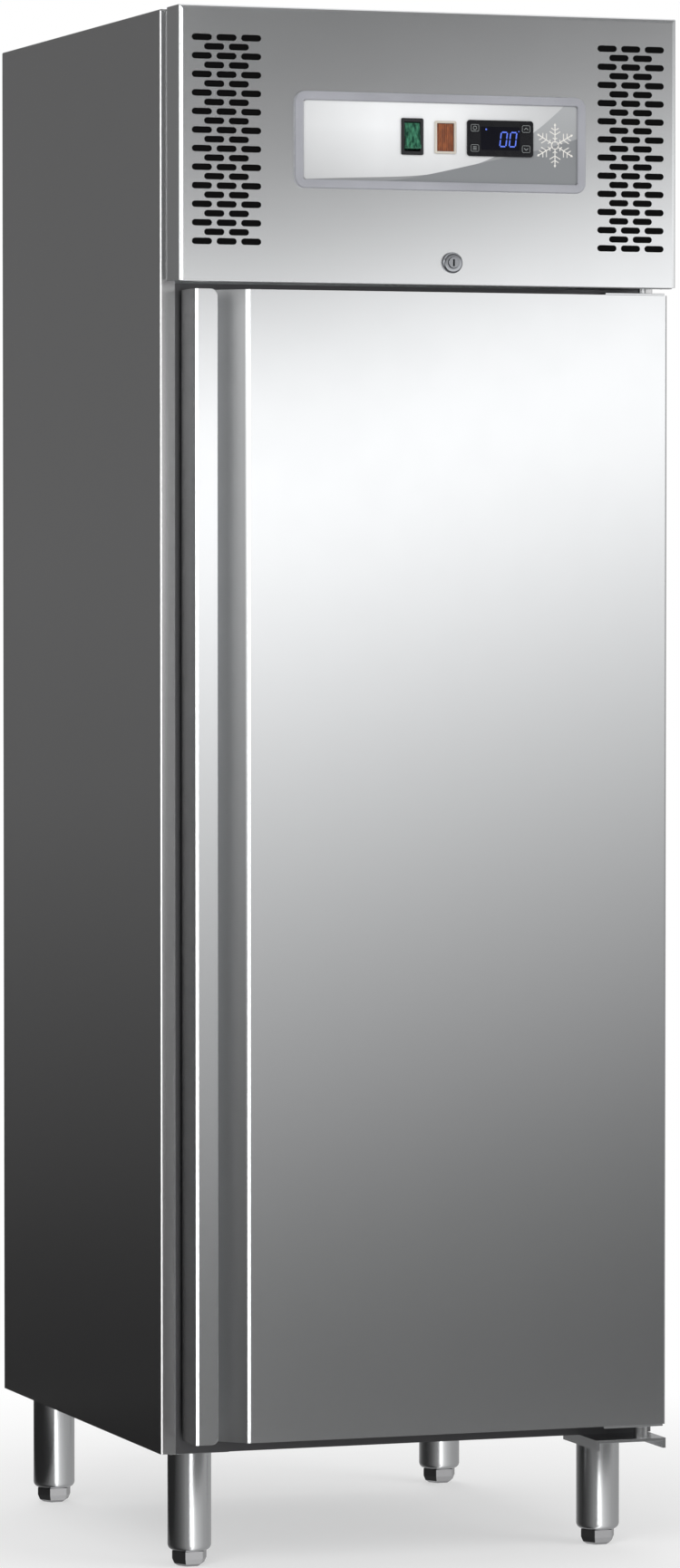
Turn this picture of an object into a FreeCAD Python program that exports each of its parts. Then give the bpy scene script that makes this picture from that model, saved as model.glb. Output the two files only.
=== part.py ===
import FreeCAD, Part
import math
import os
from FreeCAD import Vector

# An upright freezer cabinet for one 2/1 container column, in millimetres.
# The model is drawn with y = 0 on the front plane of the cabinet body, the door and the
# fascia in front of it (negative y), z = 0 on the floor and x = 0 on the middle plane.
# Every piece is moved by CENTRE_SHIFT as it is written, so that the origin lies under
# the middle of the whole outline.

# --- overall sizes
WIDTH = 680.0
BODY_DEPTH = 720.0
HEIGHT = 2010.0
LEG_SPACE = 153.0
BOX_TOP = 1660.0
SHEET = 1.0
SIDE_WALL = 60.0
BACK_WALL = 64.0
FLOOR_WALL = 60.0
CEILING_WALL = 60.0
SIDE_RETURN = 20.0
TOP_RETURN = 15.0
FRAME_SHEET = 1.5

# --- door
DOOR_LEFT_INSET = 25.0
DOOR_RIGHT_INSET = 6.5
DOOR_BOTTOM = 172.0
DOOR_HEAD_GAP = 9.2
DOOR_FRONT = 68.0
DOOR_BACK = 12.0
DOOR_BEND = 3.5
DOOR_CAP = 3.0
LIP_WIDTH = 31.0
LIP_THICK = 3.0
LIP_CORNER = 9.0
GRIP_MOUTH = 43.5
GRIP_DEPTH = 41.0
GRIP_BEND = 7.0
GASKET_WIDTH = 16.0
GASKET_OVERLAP = 4.0
GASKET_CLEARANCE = 0.4
GASKET_FOOT = 0.35  # shares of the gasket's depth
GASKET_NECK = 0.25
GASKET_HEAD = 0.85  # share of its width
LINER_CORNER = 12.0
LINER_RISE = 6.0

# --- door hinges
PIVOT_FROM_EDGE = 28.5
PIVOT_BEHIND_FRONT = 18.5
PIN_RADIUS = 5.0
PIN_FIT = 0.05
BUSH_HALF = 8.0
BUSH_LENGTH = 28.0
BOSS_RADIUS = 9.0
BOSS_SIDES = 12
HINGE_PLATE = 2.8
HINGE_PLATE_WIDTH = 83.0
HINGE_PLATE_DEPTH = 42.0
BRACKET_THICK = 4.0
BRACKET_WIDTH = 97.0
BRACKET_REACH = 62.0
BRACKET_HOLD = 60.0
BRACKET_FLANGE = 9.5
THRUST_GAP = 0.3

# --- fascia
FASCIA_DEPTH = 80.0
FASCIA_LAP = 1.0
FASCIA_RETURN = 50.0
FASCIA_BEND = 3.0
FASCIA_FLANGE = 12.0
FASCIA_PIVOT_BACK = 38.0
FASCIA_PIVOT_DROP = 10.0
FASCIA_PIN_RADIUS = 4.0
LUG_RADIUS = 8.0
LUG_THICK = 2.5
WING_INSET = 6.0
WING_THICK = 2.0
WING_REACH = 52.0
WING_FLANGE = 1.5
WING_TOP_GAP = 2.0
WING_BOSS_HALF = 7.5
WING_BOSS_RISE = 5.5
WING_BOSS_CHAMFER = 3.0
WING_CLEARANCE = 1.2

# --- vent slots: full rows of three between offset rows of two
SLOT_LENGTH = 27.0
SLOT_HEIGHT = 8.3
SLOT_PITCH = 33.0
SLOT_ROW_PITCH = 23.5
SLOT_FULL_ROWS = 12
SLOT_EDGE = 17.0
SLOT_TOP_ROW_DROP = 41.0
SLOT_END_FACETS = 3

# --- control panel on the fascia
BEZEL_WIDTH = 398.0
BEZEL_HEIGHT = 124.0
BEZEL_MIDDLE_X = 13.5
BEZEL_DROP = 168.0
BEZEL_BAND = 11.5
BEZEL_PROUD = 5.0
BEZEL_CORNER = 14.0
PLATE_THICK = 2.0
FLANGE_THICK = 2.0
CUTOUT_CLEARANCE = 0.3
FRONT_CORNER = 2.0  # corner radius of the switch, lamp and window fronts

SWITCH_MIDDLE_X = -26.5
SWITCH_RISE = 7.0
SWITCH_WIDTH = 30.0
SWITCH_HEIGHT = 47.0
SWITCH_BODY_WIDTH = 25.0
SWITCH_BODY_DEPTH = 22.0
SWITCH_WALL = 1.6
TERMINAL_WIDTH = 6.0
TERMINAL_LENGTH = 8.0
TERMINAL_THICK = 0.8
ROCKER_HALF = 16.8
ROCKER_FRONT = 7.5
ROCKER_VALLEY = 0.2
ROCKER_TAIL = 6.5
ROCKER_AXIS_DEPTH = 4.0
ROCKER_TRAVEL = 20.0
ROCKER_GAP = 0.3
ROCKER_PIVOT_RADIUS = 1.5
ROCKER_PIVOT_BITE = 1.0
ROCKER_PIVOT_FIT = 0.05

LAMP_MIDDLE_X = 19.0
LAMP_WIDTH = 29.5
LAMP_HEIGHT = 42.0
LAMP_RIM = 4.0
LAMP_BODY_DEPTH = 18.0

CONTROLLER_MIDDLE_X = 94.0
CONTROLLER_WIDTH = 91.0
CONTROLLER_HEIGHT = 46.5
CONTROLLER_CORNER = 4.0
CONTROLLER_BODY_DEPTH = 46.0
CONTROLLER_BODY_INSET = 3.5
WINDOW_WIDTH = 54.0
WINDOW_HEIGHT = 30.0
WINDOW_THICK = 1.2
KEY_WIDTH = 12.0
KEY_HEIGHT = 10.0
KEY_PITCH = 26.0
KEY_EDGE = 4.2
KEY_TRAVEL = 0.8
KEY_THICK = 3.0
KEY_GAP = 0.25

# --- lock
LOCK_X = 29.0
LOCK_RISE = 29.0
LOCK_RIM_RADIUS = 13.5
LOCK_RIM_PROUD = 6.0
LOCK_BODY_RADIUS = 9.5
LOCK_PLUG_RADIUS = 7.0
LOCK_PLUG_PROUD = 8.0
LOCK_FIT = 0.05
LOCK_SIDES = 20
LOCK_LENGTH = 24.0
LOCK_NUT_RADIUS = 13.0
LOCK_NUT_THICK = 5.0
KEYWAY_WIDTH = 2.2
KEYWAY_HEIGHT = 9.0
KEYWAY_DEPTH = 10.0
CAM_LENGTH = 45.0
CAM_HALF_WIDTH = 6.0
CAM_THICK = 2.5
CAM_ROUND = 0.9
CAM_CLEARANCE = 3.0

# --- legs and feet
LEG_INSET_X = 55.0
LEG_INSET_FRONT = 52.0
LEG_INSET_BACK = 58.0
LEG_RADIUS = 28.5
LEG_WALL = 1.5
LEG_FOOT_SPACE = 20.0
LEG_EDGE = 8.0
ARC_MIDDLE = 0.3  # how far a quarter round's middle lies in from both of its sides
LEG_SIDES = 20
LEG_INSERT = 25.0
LEG_PLATE = 2.0
LEG_PLATE_SIZE = 84.0
FOOT_RADIUS = 23.5
FOOT_SOLE_RADIUS = 15.0
FOOT_SHOULDER_RADIUS = 20.5
FOOT_SHOULDER = 10.0
FOOT_STEM_RADIUS = 8.0
FOOT_STEM_SIDES = 12
FOOT_STEM_LENGTH = 70.0
FOOT_FIT = 0.08

# --- shelving
POST_DEPTH = 12.0
POST_WIDTH = 24.0
POST_SHEET = 1.5
POST_END_INSET = 60.0
POST_HEAD_GAP = 5.0
RACK_SLOT_PITCH = 120.0
RACK_SLOT_WIDTH = 14.0
RACK_SLOT_HEIGHT = 6.0
RACK_FIRST_SLOT = 60.0
RUNNER_SHEET = 1.5
RUNNER_LEDGE = 22.0
RUNNER_HEIGHT = 30.0
HOOK_REACH = 4.0
HOOK_SLACK = 1.0
SHELF_SLOTS = (2, 5, 8)
SHELF_SIDE_GAP = 1.5
SHELF_END_GAP = 3.0
SHELF_BAR = 6.0
SHELF_WIRES = 11
SHELF_WIRE_RADIUS = 2.0

# --- cooling unit on the roof of the box
TRAY_SHEET = 2.0
TRAY_MARGIN = 20.0
TRAY_RIM = 14.0
AIRWAY_WIDTH = 440.0
AIRWAY_REAR_MARGIN = 30.0
AIRWAY_DEPTH = 250.0
HOUSING_WALL = 30.0
HOUSING_HEIGHT = 230.0
CEILING_PANEL_DROP = 40.0
CEILING_PANEL_INSET = 20.0
RETURN_SLOTS = 5
RETURN_SLOT = 8.0
RETURN_SLOT_PITCH = 24.0
RETURN_SLOT_MARGIN = 45.0
GUARD_BAR = 4.0
OUTLET_SIDES = 24
FAN_BLADES = 5
COLD_FAN_RADIUS = 82.0
COLD_FAN_DROP = 22.0
COLD_FAN_FROM_FRONT = 90.0
HUB_RADIUS = 24.0
HUB_LENGTH = 22.0
HUB_SIDES = 16
BLADE_CHORD = 0.62
BLADE_ROOT = 0.6
BLADE_SWEEP = ((0.62, 0.8), (0.45, 0.93), (-0.38, 0.9))  # chord and radius shares of the tip
BLADE_THICK = 2.0
BLADE_PITCH = 20.0
MOTOR_RADIUS = 34.0
MOTOR_LENGTH = 44.0
MOTOR_BEVEL = 6.0
MOTOR_GAP = 3.0
HUB_END = 3.0
SHAFT_RADIUS = 3.0
SHAFT_FIT = 0.05
COIL_DEPTH = 110.0
COIL_HEIGHT = 150.0
COIL_SIDE_GAP = 30.0
COIL_FLOOR_GAP = 28.0
COIL_FINS = 12
COIL_FIN = 2.0
COIL_CORE = 0.7
COIL_ENDS = 2.0

CONDENSER_WIDTH = 240.0
CONDENSER_SIZE = 240.0
CONDENSER_DEPTH = 60.0
CONDENSER_MIDDLE_X = 180.0
CONDENSER_RISE = 26.0
CONDENSER_LIP_GAP = 2.0
SHROUD_DEPTH = 40.0
SHROUD_SHEET = 2.0
HOT_FAN_RADIUS = 104.0
FAN_RING_GAP = 4.0
BRACKET_BAR = 14.0
BRACKET_SHEET = 3.0

COMPRESSOR_X = -170.0
COMPRESSOR_GAP = 15.0
COMPRESSOR_RADIUS = 78.0
COMPRESSOR_HEIGHT = 176.0
COMPRESSOR_DOME = 38.0
COVER_PROUD = 16.0
COVER_WIDTH = 52.0
COVER_HEIGHT = 68.0
COMPRESSOR_SIDES = 28
COMPRESSOR_PLATE = 4.0
COMPRESSOR_PLATE_LENGTH = 210.0
COMPRESSOR_PLATE_WIDTH = 130.0
GROMMET_RADIUS = 13.0
GROMMET_HEIGHT = 14.0
PIPE_RADIUS = 4.5
PIPE_BEND = 20.0
PIPE_SIDES = 8
PIPE_BEND_FACETS = 3
DRIER_RADIUS = 12.0
DRIER_LENGTH = 90.0
PORT_SHARE = 0.7  # height of the compressor's ports in its shell
HOT_PIPE_RUN = 44.0
HOT_BEND_SHARE = 0.125  # share of the pipe's run back from the condenser to the compressor
LIQUID_PIPE_RISE = 30.0
LIQUID_PIPE_RUN = 30.0

DRIP_TRAY_X = -5.0
DRIP_TRAY_WIDTH = 110.0
DRIP_TRAY_DEPTH = 95.0
DRIP_TRAY_HEIGHT = 30.0
DRIP_TRAY_WALL = 2.0
DRAIN_RADIUS = 7.0
DRAIN_FIT = 0.3

POWER_BOX_WIDTH = 46.0
POWER_BOX_DEPTH = 150.0
POWER_BOX_HEIGHT = 120.0
POWER_BOX_CORNER = 6.0
GLAND_RADIUS = 11.0
GLAND_NECK_RADIUS = 8.8
GLAND_BORE = 4.5
GLAND_LENGTH = 16.0
GLAND_X = 250.0
GLAND_RISE = 30.0
GRILLE_SLOTS = 9
GRILLE_FIELD = 0.75  # share of the machine space's height that the slots fill
GRILLE_START = 0.2
GRILLE_SLOT_HEIGHT = 10.0
GRILLE_SLOT_WIDTH = 520.0

# --- places worked out from the sizes above
HALF = WIDTH / 2
INNER_HALF = HALF - SIDE_WALL
INNER_DEPTH = BODY_DEPTH - BACK_WALL
INNER_FLOOR = LEG_SPACE + FLOOR_WALL
INNER_CEILING = BOX_TOP - CEILING_WALL
DOOR_LEFT = -HALF + DOOR_LEFT_INSET
DOOR_RIGHT = HALF - DOOR_RIGHT_INSET
DOOR_TOP = BOX_TOP - DOOR_HEAD_GAP
LIP_EDGE = DOOR_LEFT + LIP_WIDTH
PANEL_EDGE = LIP_EDGE + GRIP_MOUTH
GRIP_FLOOR = -DOOR_FRONT + GRIP_DEPTH
PIVOT_X = DOOR_RIGHT - PIVOT_FROM_EDGE
PIVOT_Y = -DOOR_FRONT + PIVOT_BEHIND_FRONT
PANEL_FACE = -FASCIA_DEPTH - PLATE_THICK
FLANGE_FACE = PANEL_FACE - FLANGE_THICK
BEZEL_Z = HEIGHT - BEZEL_DROP
SWITCH_Z = BEZEL_Z + SWITCH_RISE
FASCIA_BOTTOM = BOX_TOP - FASCIA_LAP
LOCK_Z = FASCIA_BOTTOM + LOCK_RISE
CAM_FRONT = -FASCIA_DEPTH + LOCK_LENGTH
FASCIA_PIVOT_Y = -FASCIA_PIVOT_BACK
FASCIA_PIVOT_Z = HEIGHT - FASCIA_PIVOT_DROP
DECK = BOX_TOP + TRAY_SHEET
AIRWAY_BACK = INNER_DEPTH - AIRWAY_REAR_MARGIN
AIRWAY_FRONT = AIRWAY_BACK - AIRWAY_DEPTH
COLD_FAN_Y = AIRWAY_FRONT + COLD_FAN_FROM_FRONT
HOOD_FRONT = AIRWAY_FRONT - HOUSING_WALL
COMPRESSOR_Y = HOOD_FRONT - COMPRESSOR_GAP - COMPRESSOR_RADIUS
COLD_FAN_Z = BOX_TOP - COLD_FAN_DROP
HOT_FAN_Z = DECK + CONDENSER_RISE + CONDENSER_SIZE / 2
FRONT_MOST = -FASCIA_DEPTH - LOCK_PLUG_PROUD
CENTRE_SHIFT = -(FRONT_MOST + BODY_DEPTH) / 2


def block(x0, x1, y0, y1, z0, z1):
    """A box between two x, two y and two z values."""
    return Part.makeBox(x1 - x0, y1 - y0, z1 - z0, Vector(x0, y0, z0))


def rod(radius, start, end):
    """A cylinder from one point to another."""
    axis = Vector(*end) - Vector(*start)
    return Part.makeCylinder(radius, axis.Length, Vector(*start), axis)


def joined(shapes):
    """All shapes fused into one, without the seams between their flat faces."""
    return shapes[0].fuse(shapes[1:]).removeSplitter()


def mirrored(shape):
    """The shape on the other side of the middle plane."""
    return shape.mirror(Vector(0, 0, 0), Vector(1, 0, 0))


def plan(a, b, height=0.0):
    """A point of a plan outline: a along x, b along y."""
    return Vector(a, b, height)


def front(a, b, depth=0.0):
    """A point of a front outline: a along x, b along z."""
    return Vector(a, depth, b)


def side(a, b, along=0.0):
    """A point of a side outline: a along y, b along z."""
    return Vector(along, a, b)


def round_wire(points, radii):
    """A closed wire through 3-D points, with a tangent arc of each radius at its corner."""
    count = len(points)
    starts = []
    ends = []
    middles = []
    for i in range(count):
        corner = points[i]
        before = (points[i - 1] - corner).normalize()
        after = (points[(i + 1) % count] - corner).normalize()
        half_angle = before.getAngle(after) / 2
        setback = radii[i] / math.tan(half_angle)
        starts.append(corner + before * setback)
        ends.append(corner + after * setback)
        bisector = (before + after).normalize()
        reach = radii[i] / math.sin(half_angle) - radii[i]
        middles.append(corner + bisector * reach)
    edges = []
    for i in range(count):
        if radii[i] > 0:
            edges.append(Part.Arc(starts[i], middles[i], ends[i]).toShape())
        following = starts[(i + 1) % count]
        if ends[i].distanceToPoint(following) > 1e-6:
            edges.append(Part.LineSegment(ends[i], following).toShape())
    return Part.Wire(edges)


def prism(points, radii, sweep):
    """A solid swept from a closed outline with rounded corners."""
    if not isinstance(radii, (list, tuple)):
        radii = [radii] * len(points)
    return Part.Face(round_wire(points, radii)).extrude(Vector(*sweep))


def ring_points(radius, sides, z, turn=0.0):
    """The corners of a regular polygon at a height, on the z axis."""
    angles = [turn + 2 * math.pi * i / sides for i in range(sides)]
    return [Vector(radius * math.cos(a), radius * math.sin(a), z) for a in angles]


def turned(profile, sides):
    """A stack of faceted rounds on the z axis, from (radius, height) pairs going up."""
    faces = []
    rings = [ring_points(radius, sides, z) for radius, z in profile]
    for low, high in zip(rings, rings[1:]):
        for i in range(sides):
            j = (i + 1) % sides
            quad = [low[i], low[j], high[j], high[i], low[i]]
            faces.append(Part.Face(Part.makePolygon(quad)))
    for ring in (rings[0], rings[-1]):
        faces.append(Part.Face(Part.makePolygon(ring + [ring[0]])))
    return Part.Solid(Part.makeShell(faces))


def turned_across(profile, sides, x, z):
    """A stack of faceted rounds with its axis along y, from (radius, y) pairs going back."""
    stack = turned(profile, sides)
    stack.rotate(Vector(0, 0, 0), Vector(1, 0, 0), -90)
    stack.translate(Vector(x, 0, z))
    return stack


def panel(middle_x, middle_z, width, height, corner, front_y, back_y):
    """A plate with rounded corners that stands across y."""
    x0 = middle_x - width / 2
    x1 = middle_x + width / 2
    z0 = middle_z - height / 2
    z1 = middle_z + height / 2
    corners = [front(x, z, front_y) for x, z in ((x0, z0), (x1, z0), (x1, z1), (x0, z1))]
    return prism(corners, corner, (0, back_y - front_y, 0))


def edges_near(shape, test):
    """The edges of a shape whose middle point passes a test."""
    return [edge for edge in shape.Edges if test(edge.CenterOfMass)]


# --- cabinet body


def side_panel():
    """Left outer side: one sheet with a front return, a rear return and a top return."""
    sheet = block(-HALF, -HALF + SHEET, 0, BODY_DEPTH, LEG_SPACE, HEIGHT)
    front_return = block(-HALF, -HALF + SIDE_RETURN, 0, SHEET, LEG_SPACE, HEIGHT)
    back_return = block(-HALF, -HALF + SIDE_RETURN, BODY_DEPTH - SHEET, BODY_DEPTH, LEG_SPACE, HEIGHT)
    top_return = block(-HALF, -HALF + TOP_RETURN, 0, BODY_DEPTH, HEIGHT - SHEET, HEIGHT)
    return joined([sheet, front_return, back_return, top_return])


def back_panel():
    """Rear skin of the insulated box, between the returns of the side panels."""
    edge = HALF - SIDE_RETURN
    return block(-edge, edge, BODY_DEPTH - SHEET, BODY_DEPTH, LEG_SPACE + SHEET, BOX_TOP)


def bottom_panel():
    """Underside skin of the box."""
    return block(-HALF + SHEET, HALF - SHEET, SHEET, BODY_DEPTH - SHEET, LEG_SPACE, LEG_SPACE + SHEET)


def roof_panel():
    """Top skin of the box, with the airway to the cooling unit."""
    skin = block(-HALF + SHEET, HALF - SHEET, SHEET, BODY_DEPTH - SHEET, BOX_TOP - SHEET, BOX_TOP)
    return skin.cut(airway(BOX_TOP - CEILING_WALL, BOX_TOP))


def airway(z0, z1):
    """The rectangular hole through the ceiling that the cold air passes."""
    half = AIRWAY_WIDTH / 2
    return block(-half, half, AIRWAY_FRONT, AIRWAY_BACK, z0, z1)


def wall_insulation():
    """Foam slabs of the two sides, back and floor, and four strips round the airway."""
    foam_front = FRAME_SHEET
    foam_back = BODY_DEPTH - SHEET
    foam_floor = LEG_SPACE + SHEET
    foam_roof = BOX_TOP - SHEET
    skin = INNER_HALF + SHEET
    rear = INNER_DEPTH + SHEET
    ceiling = INNER_CEILING + SHEET
    airway_half = AIRWAY_WIDTH / 2
    left = block(-HALF + SHEET, -skin, foam_front, foam_back, foam_floor, foam_roof)
    back = block(-skin, skin, rear, foam_back, foam_floor, foam_roof)
    floor = block(-skin, skin, foam_front, rear, foam_floor, INNER_FLOOR - SHEET)
    head = block(-skin, skin, foam_front, AIRWAY_FRONT, ceiling, foam_roof)
    tail = block(-skin, skin, AIRWAY_BACK, rear, ceiling, foam_roof)
    flank = block(-skin, -airway_half, AIRWAY_FRONT, AIRWAY_BACK, ceiling, foam_roof)
    return [left, mirrored(left), back, floor, head, tail, flank, mirrored(flank)]


def inner_liner():
    """Stainless inner box, open at the front and at the airway."""
    outer = block(
        -INNER_HALF - SHEET,
        INNER_HALF + SHEET,
        FRAME_SHEET,
        INNER_DEPTH + SHEET,
        INNER_FLOOR - SHEET,
        INNER_CEILING + SHEET,
    )
    inner = block(-INNER_HALF, INNER_HALF, 0, INNER_DEPTH, INNER_FLOOR, INNER_CEILING)
    return outer.cut(inner).cut(airway(INNER_CEILING, INNER_CEILING + SHEET))


def front_frame():
    """Flat frame round the opening, on which the gasket seals."""
    edge = HALF - SIDE_RETURN
    frame = block(-edge, edge, 0, FRAME_SHEET, LEG_SPACE, BOX_TOP)
    frame = frame.cut(block(-edge, edge, SHEET, FRAME_SHEET, LEG_SPACE, LEG_SPACE + SHEET))
    frame = frame.cut(block(-edge, edge, SHEET, FRAME_SHEET, BOX_TOP - SHEET, BOX_TOP))
    return frame.cut(block(-INNER_HALF, INNER_HALF, 0, FRAME_SHEET, INNER_FLOOR, INNER_CEILING))


def leg_places():
    """The middles of the four legs, front left first."""
    x = HALF - LEG_INSET_X
    y0 = LEG_INSET_FRONT
    y1 = BODY_DEPTH - LEG_INSET_BACK
    return {"front_left": (-x, y0), "front_right": (x, y0), "back_left": (-x, y1), "back_right": (x, y1)}


def leg_tube(x, y):
    """Round leg: a tube with a rounded lower edge, a bored insert for the foot and a top plate."""
    top = LEG_SPACE - LEG_PLATE
    low = LEG_FOOT_SPACE + THRUST_GAP
    steps = [
        (LEG_RADIUS - LEG_EDGE, low),
        (LEG_RADIUS - LEG_EDGE * ARC_MIDDLE, low + LEG_EDGE * ARC_MIDDLE),
        (LEG_RADIUS, low + LEG_EDGE),
        (LEG_RADIUS, top),
    ]
    tube = turned(steps, LEG_SIDES)
    inner = LEG_RADIUS - LEG_WALL
    hollow = turned([(inner, low + LEG_INSERT), (inner, top)], LEG_SIDES)
    bore = rod(FOOT_STEM_RADIUS + FOOT_FIT, (0, 0, low), (0, 0, low + LEG_INSERT))
    half = LEG_PLATE_SIZE / 2
    plate = block(-half, half, -half, half, top, LEG_SPACE)
    leg = joined([tube.cut(hollow).cut(bore), plate])
    leg.translate(Vector(x, y, 0))
    return leg


def foot(x, y):
    """Screw foot: a hexagonal bullet that narrows to its sole, on a stem that turns in the leg."""
    steps = [
        (FOOT_SOLE_RADIUS, 0.0),
        (FOOT_SHOULDER_RADIUS, FOOT_SHOULDER / 3),
        (FOOT_RADIUS, FOOT_SHOULDER),
        (FOOT_RADIUS, LEG_FOOT_SPACE),
    ]
    bullet = turned(steps, 6)
    stem_top = LEG_FOOT_SPACE + FOOT_STEM_LENGTH
    stem = turned([(FOOT_STEM_RADIUS, LEG_FOOT_SPACE), (FOOT_STEM_RADIUS, stem_top)], FOOT_STEM_SIDES)
    whole = joined([bullet, stem])
    whole.translate(Vector(x, y, 0))
    return whole


# --- shelving


def post_slot_heights():
    """The heights of the hook slots in a rack post."""
    first = INNER_FLOOR + RACK_FIRST_SLOT
    room = INNER_CEILING - CEILING_PANEL_DROP - POST_HEAD_GAP - first
    return [first + i * RACK_SLOT_PITCH for i in range(int(room / RACK_SLOT_PITCH) + 1)]


def post_middles():
    """The y of the front and back rack posts."""
    return POST_END_INSET, INNER_DEPTH - POST_END_INSET


def rack_post(middle_y):
    """Left rack post: a channel against the liner, slotted on the face that meets the shelf."""
    top = INNER_CEILING - CEILING_PANEL_DROP - POST_HEAD_GAP
    wall = -INNER_HALF
    face = wall + POST_DEPTH
    y0 = middle_y - POST_WIDTH / 2
    y1 = middle_y + POST_WIDTH / 2
    channel = block(wall, face, y0, y1, INNER_FLOOR, top)
    hollow = block(wall, face - POST_SHEET, y0 + POST_SHEET, y1 - POST_SHEET, INNER_FLOOR, top)
    slots = []
    for z in post_slot_heights():
        s0 = middle_y - RACK_SLOT_WIDTH / 2
        s1 = middle_y + RACK_SLOT_WIDTH / 2
        slots.append(block(face - POST_SHEET, face, s0, s1, z, z + RACK_SLOT_HEIGHT))
    return channel.cut(hollow).cut(Part.makeCompound(slots))


def rack_posts():
    """The four rack posts."""
    left = [rack_post(y) for y in post_middles()]
    return left + [mirrored(post) for post in left]


def runner(slot_z):
    """Left shelf runner: an angle with a ledge and two hooks that drop into the posts."""
    face = -INNER_HALF + POST_DEPTH
    y0 = SHELF_END_GAP
    y1 = INNER_DEPTH - SHELF_END_GAP
    ledge_top = slot_z + HOOK_SLACK / 2
    leg = block(face, face + RUNNER_SHEET, y0, y1, ledge_top - RUNNER_SHEET, ledge_top + RUNNER_HEIGHT)
    ledge = block(face, face + RUNNER_LEDGE, y0, y1, ledge_top - RUNNER_SHEET, ledge_top)
    hooks = []
    for y in post_middles():
        h0 = y - RACK_SLOT_WIDTH / 2 + HOOK_SLACK
        h1 = y + RACK_SLOT_WIDTH / 2 - HOOK_SLACK
        hook_top = slot_z + RACK_SLOT_HEIGHT - HOOK_SLACK
        hooks.append(block(face - HOOK_REACH, face, h0, h1, ledge_top, hook_top))
    return joined([leg, ledge] + hooks)


def shelf_heights():
    """The slot height that carries each shelf."""
    heights = post_slot_heights()
    return [heights[min(slot, len(heights)) - 1] for slot in SHELF_SLOTS]


def shelf_runners():
    """A pair of runners for each shelf."""
    left = [runner(z) for z in shelf_heights()]
    return left + [mirrored(one) for one in left]


def wire_shelf(slot_z):
    """Wire shelf: a square bar frame with bars from front to back and one cross bar."""
    half = INNER_HALF - POST_DEPTH - RUNNER_SHEET - SHELF_SIDE_GAP
    y0 = SHELF_END_GAP
    y1 = INNER_DEPTH - SHELF_END_GAP
    z0 = slot_z + HOOK_SLACK / 2
    z1 = z0 + SHELF_BAR
    frame = block(-half, half, y0, y1, z0, z1)
    window = block(-half + SHELF_BAR, half - SHELF_BAR, y0 + SHELF_BAR, y1 - SHELF_BAR, z0, z1)
    middle_y = (y0 + y1) / 2
    c0 = middle_y - SHELF_BAR / 2
    reach = half - SHELF_BAR / 2
    wire_low = z1 - 2 * SHELF_WIRE_RADIUS
    cross = block(-reach, reach, c0, c0 + SHELF_BAR, z0, wire_low)
    pitch = 2 * half / (SHELF_WIRES + 1)
    wires = []
    for i in range(SHELF_WIRES):
        x = -half + (i + 1) * pitch
        w0 = y0 + SHELF_BAR / 2
        w1 = y1 - SHELF_BAR / 2
        wires.append(block(x - SHELF_WIRE_RADIUS, x + SHELF_WIRE_RADIUS, w0, w1, wire_low, z1))
    return joined([frame.cut(window), cross] + wires)


# --- door


def door_outline(skin):
    """Plan outline of the door, drawn in by a skin thickness, with its corner radii.

    The outline runs from the back right corner along the front to the slanted wall of the
    grip channel, then along the channel's floor to the left side wall.
    """
    bend = DOOR_BEND - skin
    lean = GRIP_MOUTH / GRIP_DEPTH
    slant = math.hypot(1, lean) - lean
    points = [
        plan(DOOR_RIGHT - skin, -DOOR_BACK),
        plan(DOOR_RIGHT - skin, -DOOR_FRONT + skin),
        plan(PANEL_EDGE + skin * slant, -DOOR_FRONT + skin),
        plan(LIP_EDGE + skin * slant, GRIP_FLOOR + skin),
        plan(DOOR_LEFT + LIP_THICK, GRIP_FLOOR + skin),
        plan(DOOR_LEFT + LIP_THICK, -DOOR_BACK),
    ]
    return points, [0, bend, bend, GRIP_BEND + skin, 0, 0]


def lifted(points, z):
    """The same outline at another height."""
    return [Vector(point.x, point.y, z) for point in points]


def door_panel():
    """Outer door skin: one bent sheet whose left edge is folded into a full-height grip lip."""
    tall = DOOR_TOP - DOOR_BOTTOM
    outline, radii = door_outline(0.0)
    hollow, hollow_radii = door_outline(SHEET)
    outer = prism(lifted(outline, DOOR_BOTTOM), radii, (0, 0, tall))
    inner = prism(lifted(hollow, DOOR_BOTTOM), hollow_radii, (0, 0, tall))
    left = DOOR_LEFT
    hem_back = -DOOR_FRONT + LIP_THICK
    hem = [
        plan(left, -DOOR_BACK, DOOR_BOTTOM),
        plan(left, -DOOR_FRONT, DOOR_BOTTOM),
        plan(LIP_EDGE, -DOOR_FRONT, DOOR_BOTTOM),
        plan(LIP_EDGE, hem_back, DOOR_BOTTOM),
        plan(left + LIP_THICK, hem_back, DOOR_BOTTOM),
        plan(left + LIP_THICK, -DOOR_BACK, DOOR_BOTTOM),
    ]
    hem_edge = LIP_THICK * 0.45
    lip = prism(hem, [0, DOOR_BEND, hem_edge, hem_edge, 0, 0], (0, 0, tall))
    return joined([outer.cut(inner), lip.cut(lip_corners())])


def lip_corners():
    """What is cut away to round the free corners of the lip at its top and bottom."""
    waste = []
    for z, inward in ((DOOR_TOP, -1), (DOOR_BOTTOM, 1)):
        x = LIP_EDGE - LIP_CORNER
        centre = z + inward * LIP_CORNER
        low = min(z, centre)
        square = block(x, LIP_EDGE + 1, -DOOR_FRONT, GRIP_FLOOR, low, low + LIP_CORNER)
        waste.append(square.cut(rod(LIP_CORNER, (x, -DOOR_FRONT, centre), (x, GRIP_FLOOR, centre))))
    return Part.makeCompound(waste)


def bush_block(z0):
    """The square space of a hinge bush from a lower end."""
    x0 = PIVOT_X - BUSH_HALF
    y0 = PIVOT_Y - BUSH_HALF
    return block(x0, x0 + 2 * BUSH_HALF, y0, y0 + 2 * BUSH_HALF, z0, z0 + BUSH_LENGTH)


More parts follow.
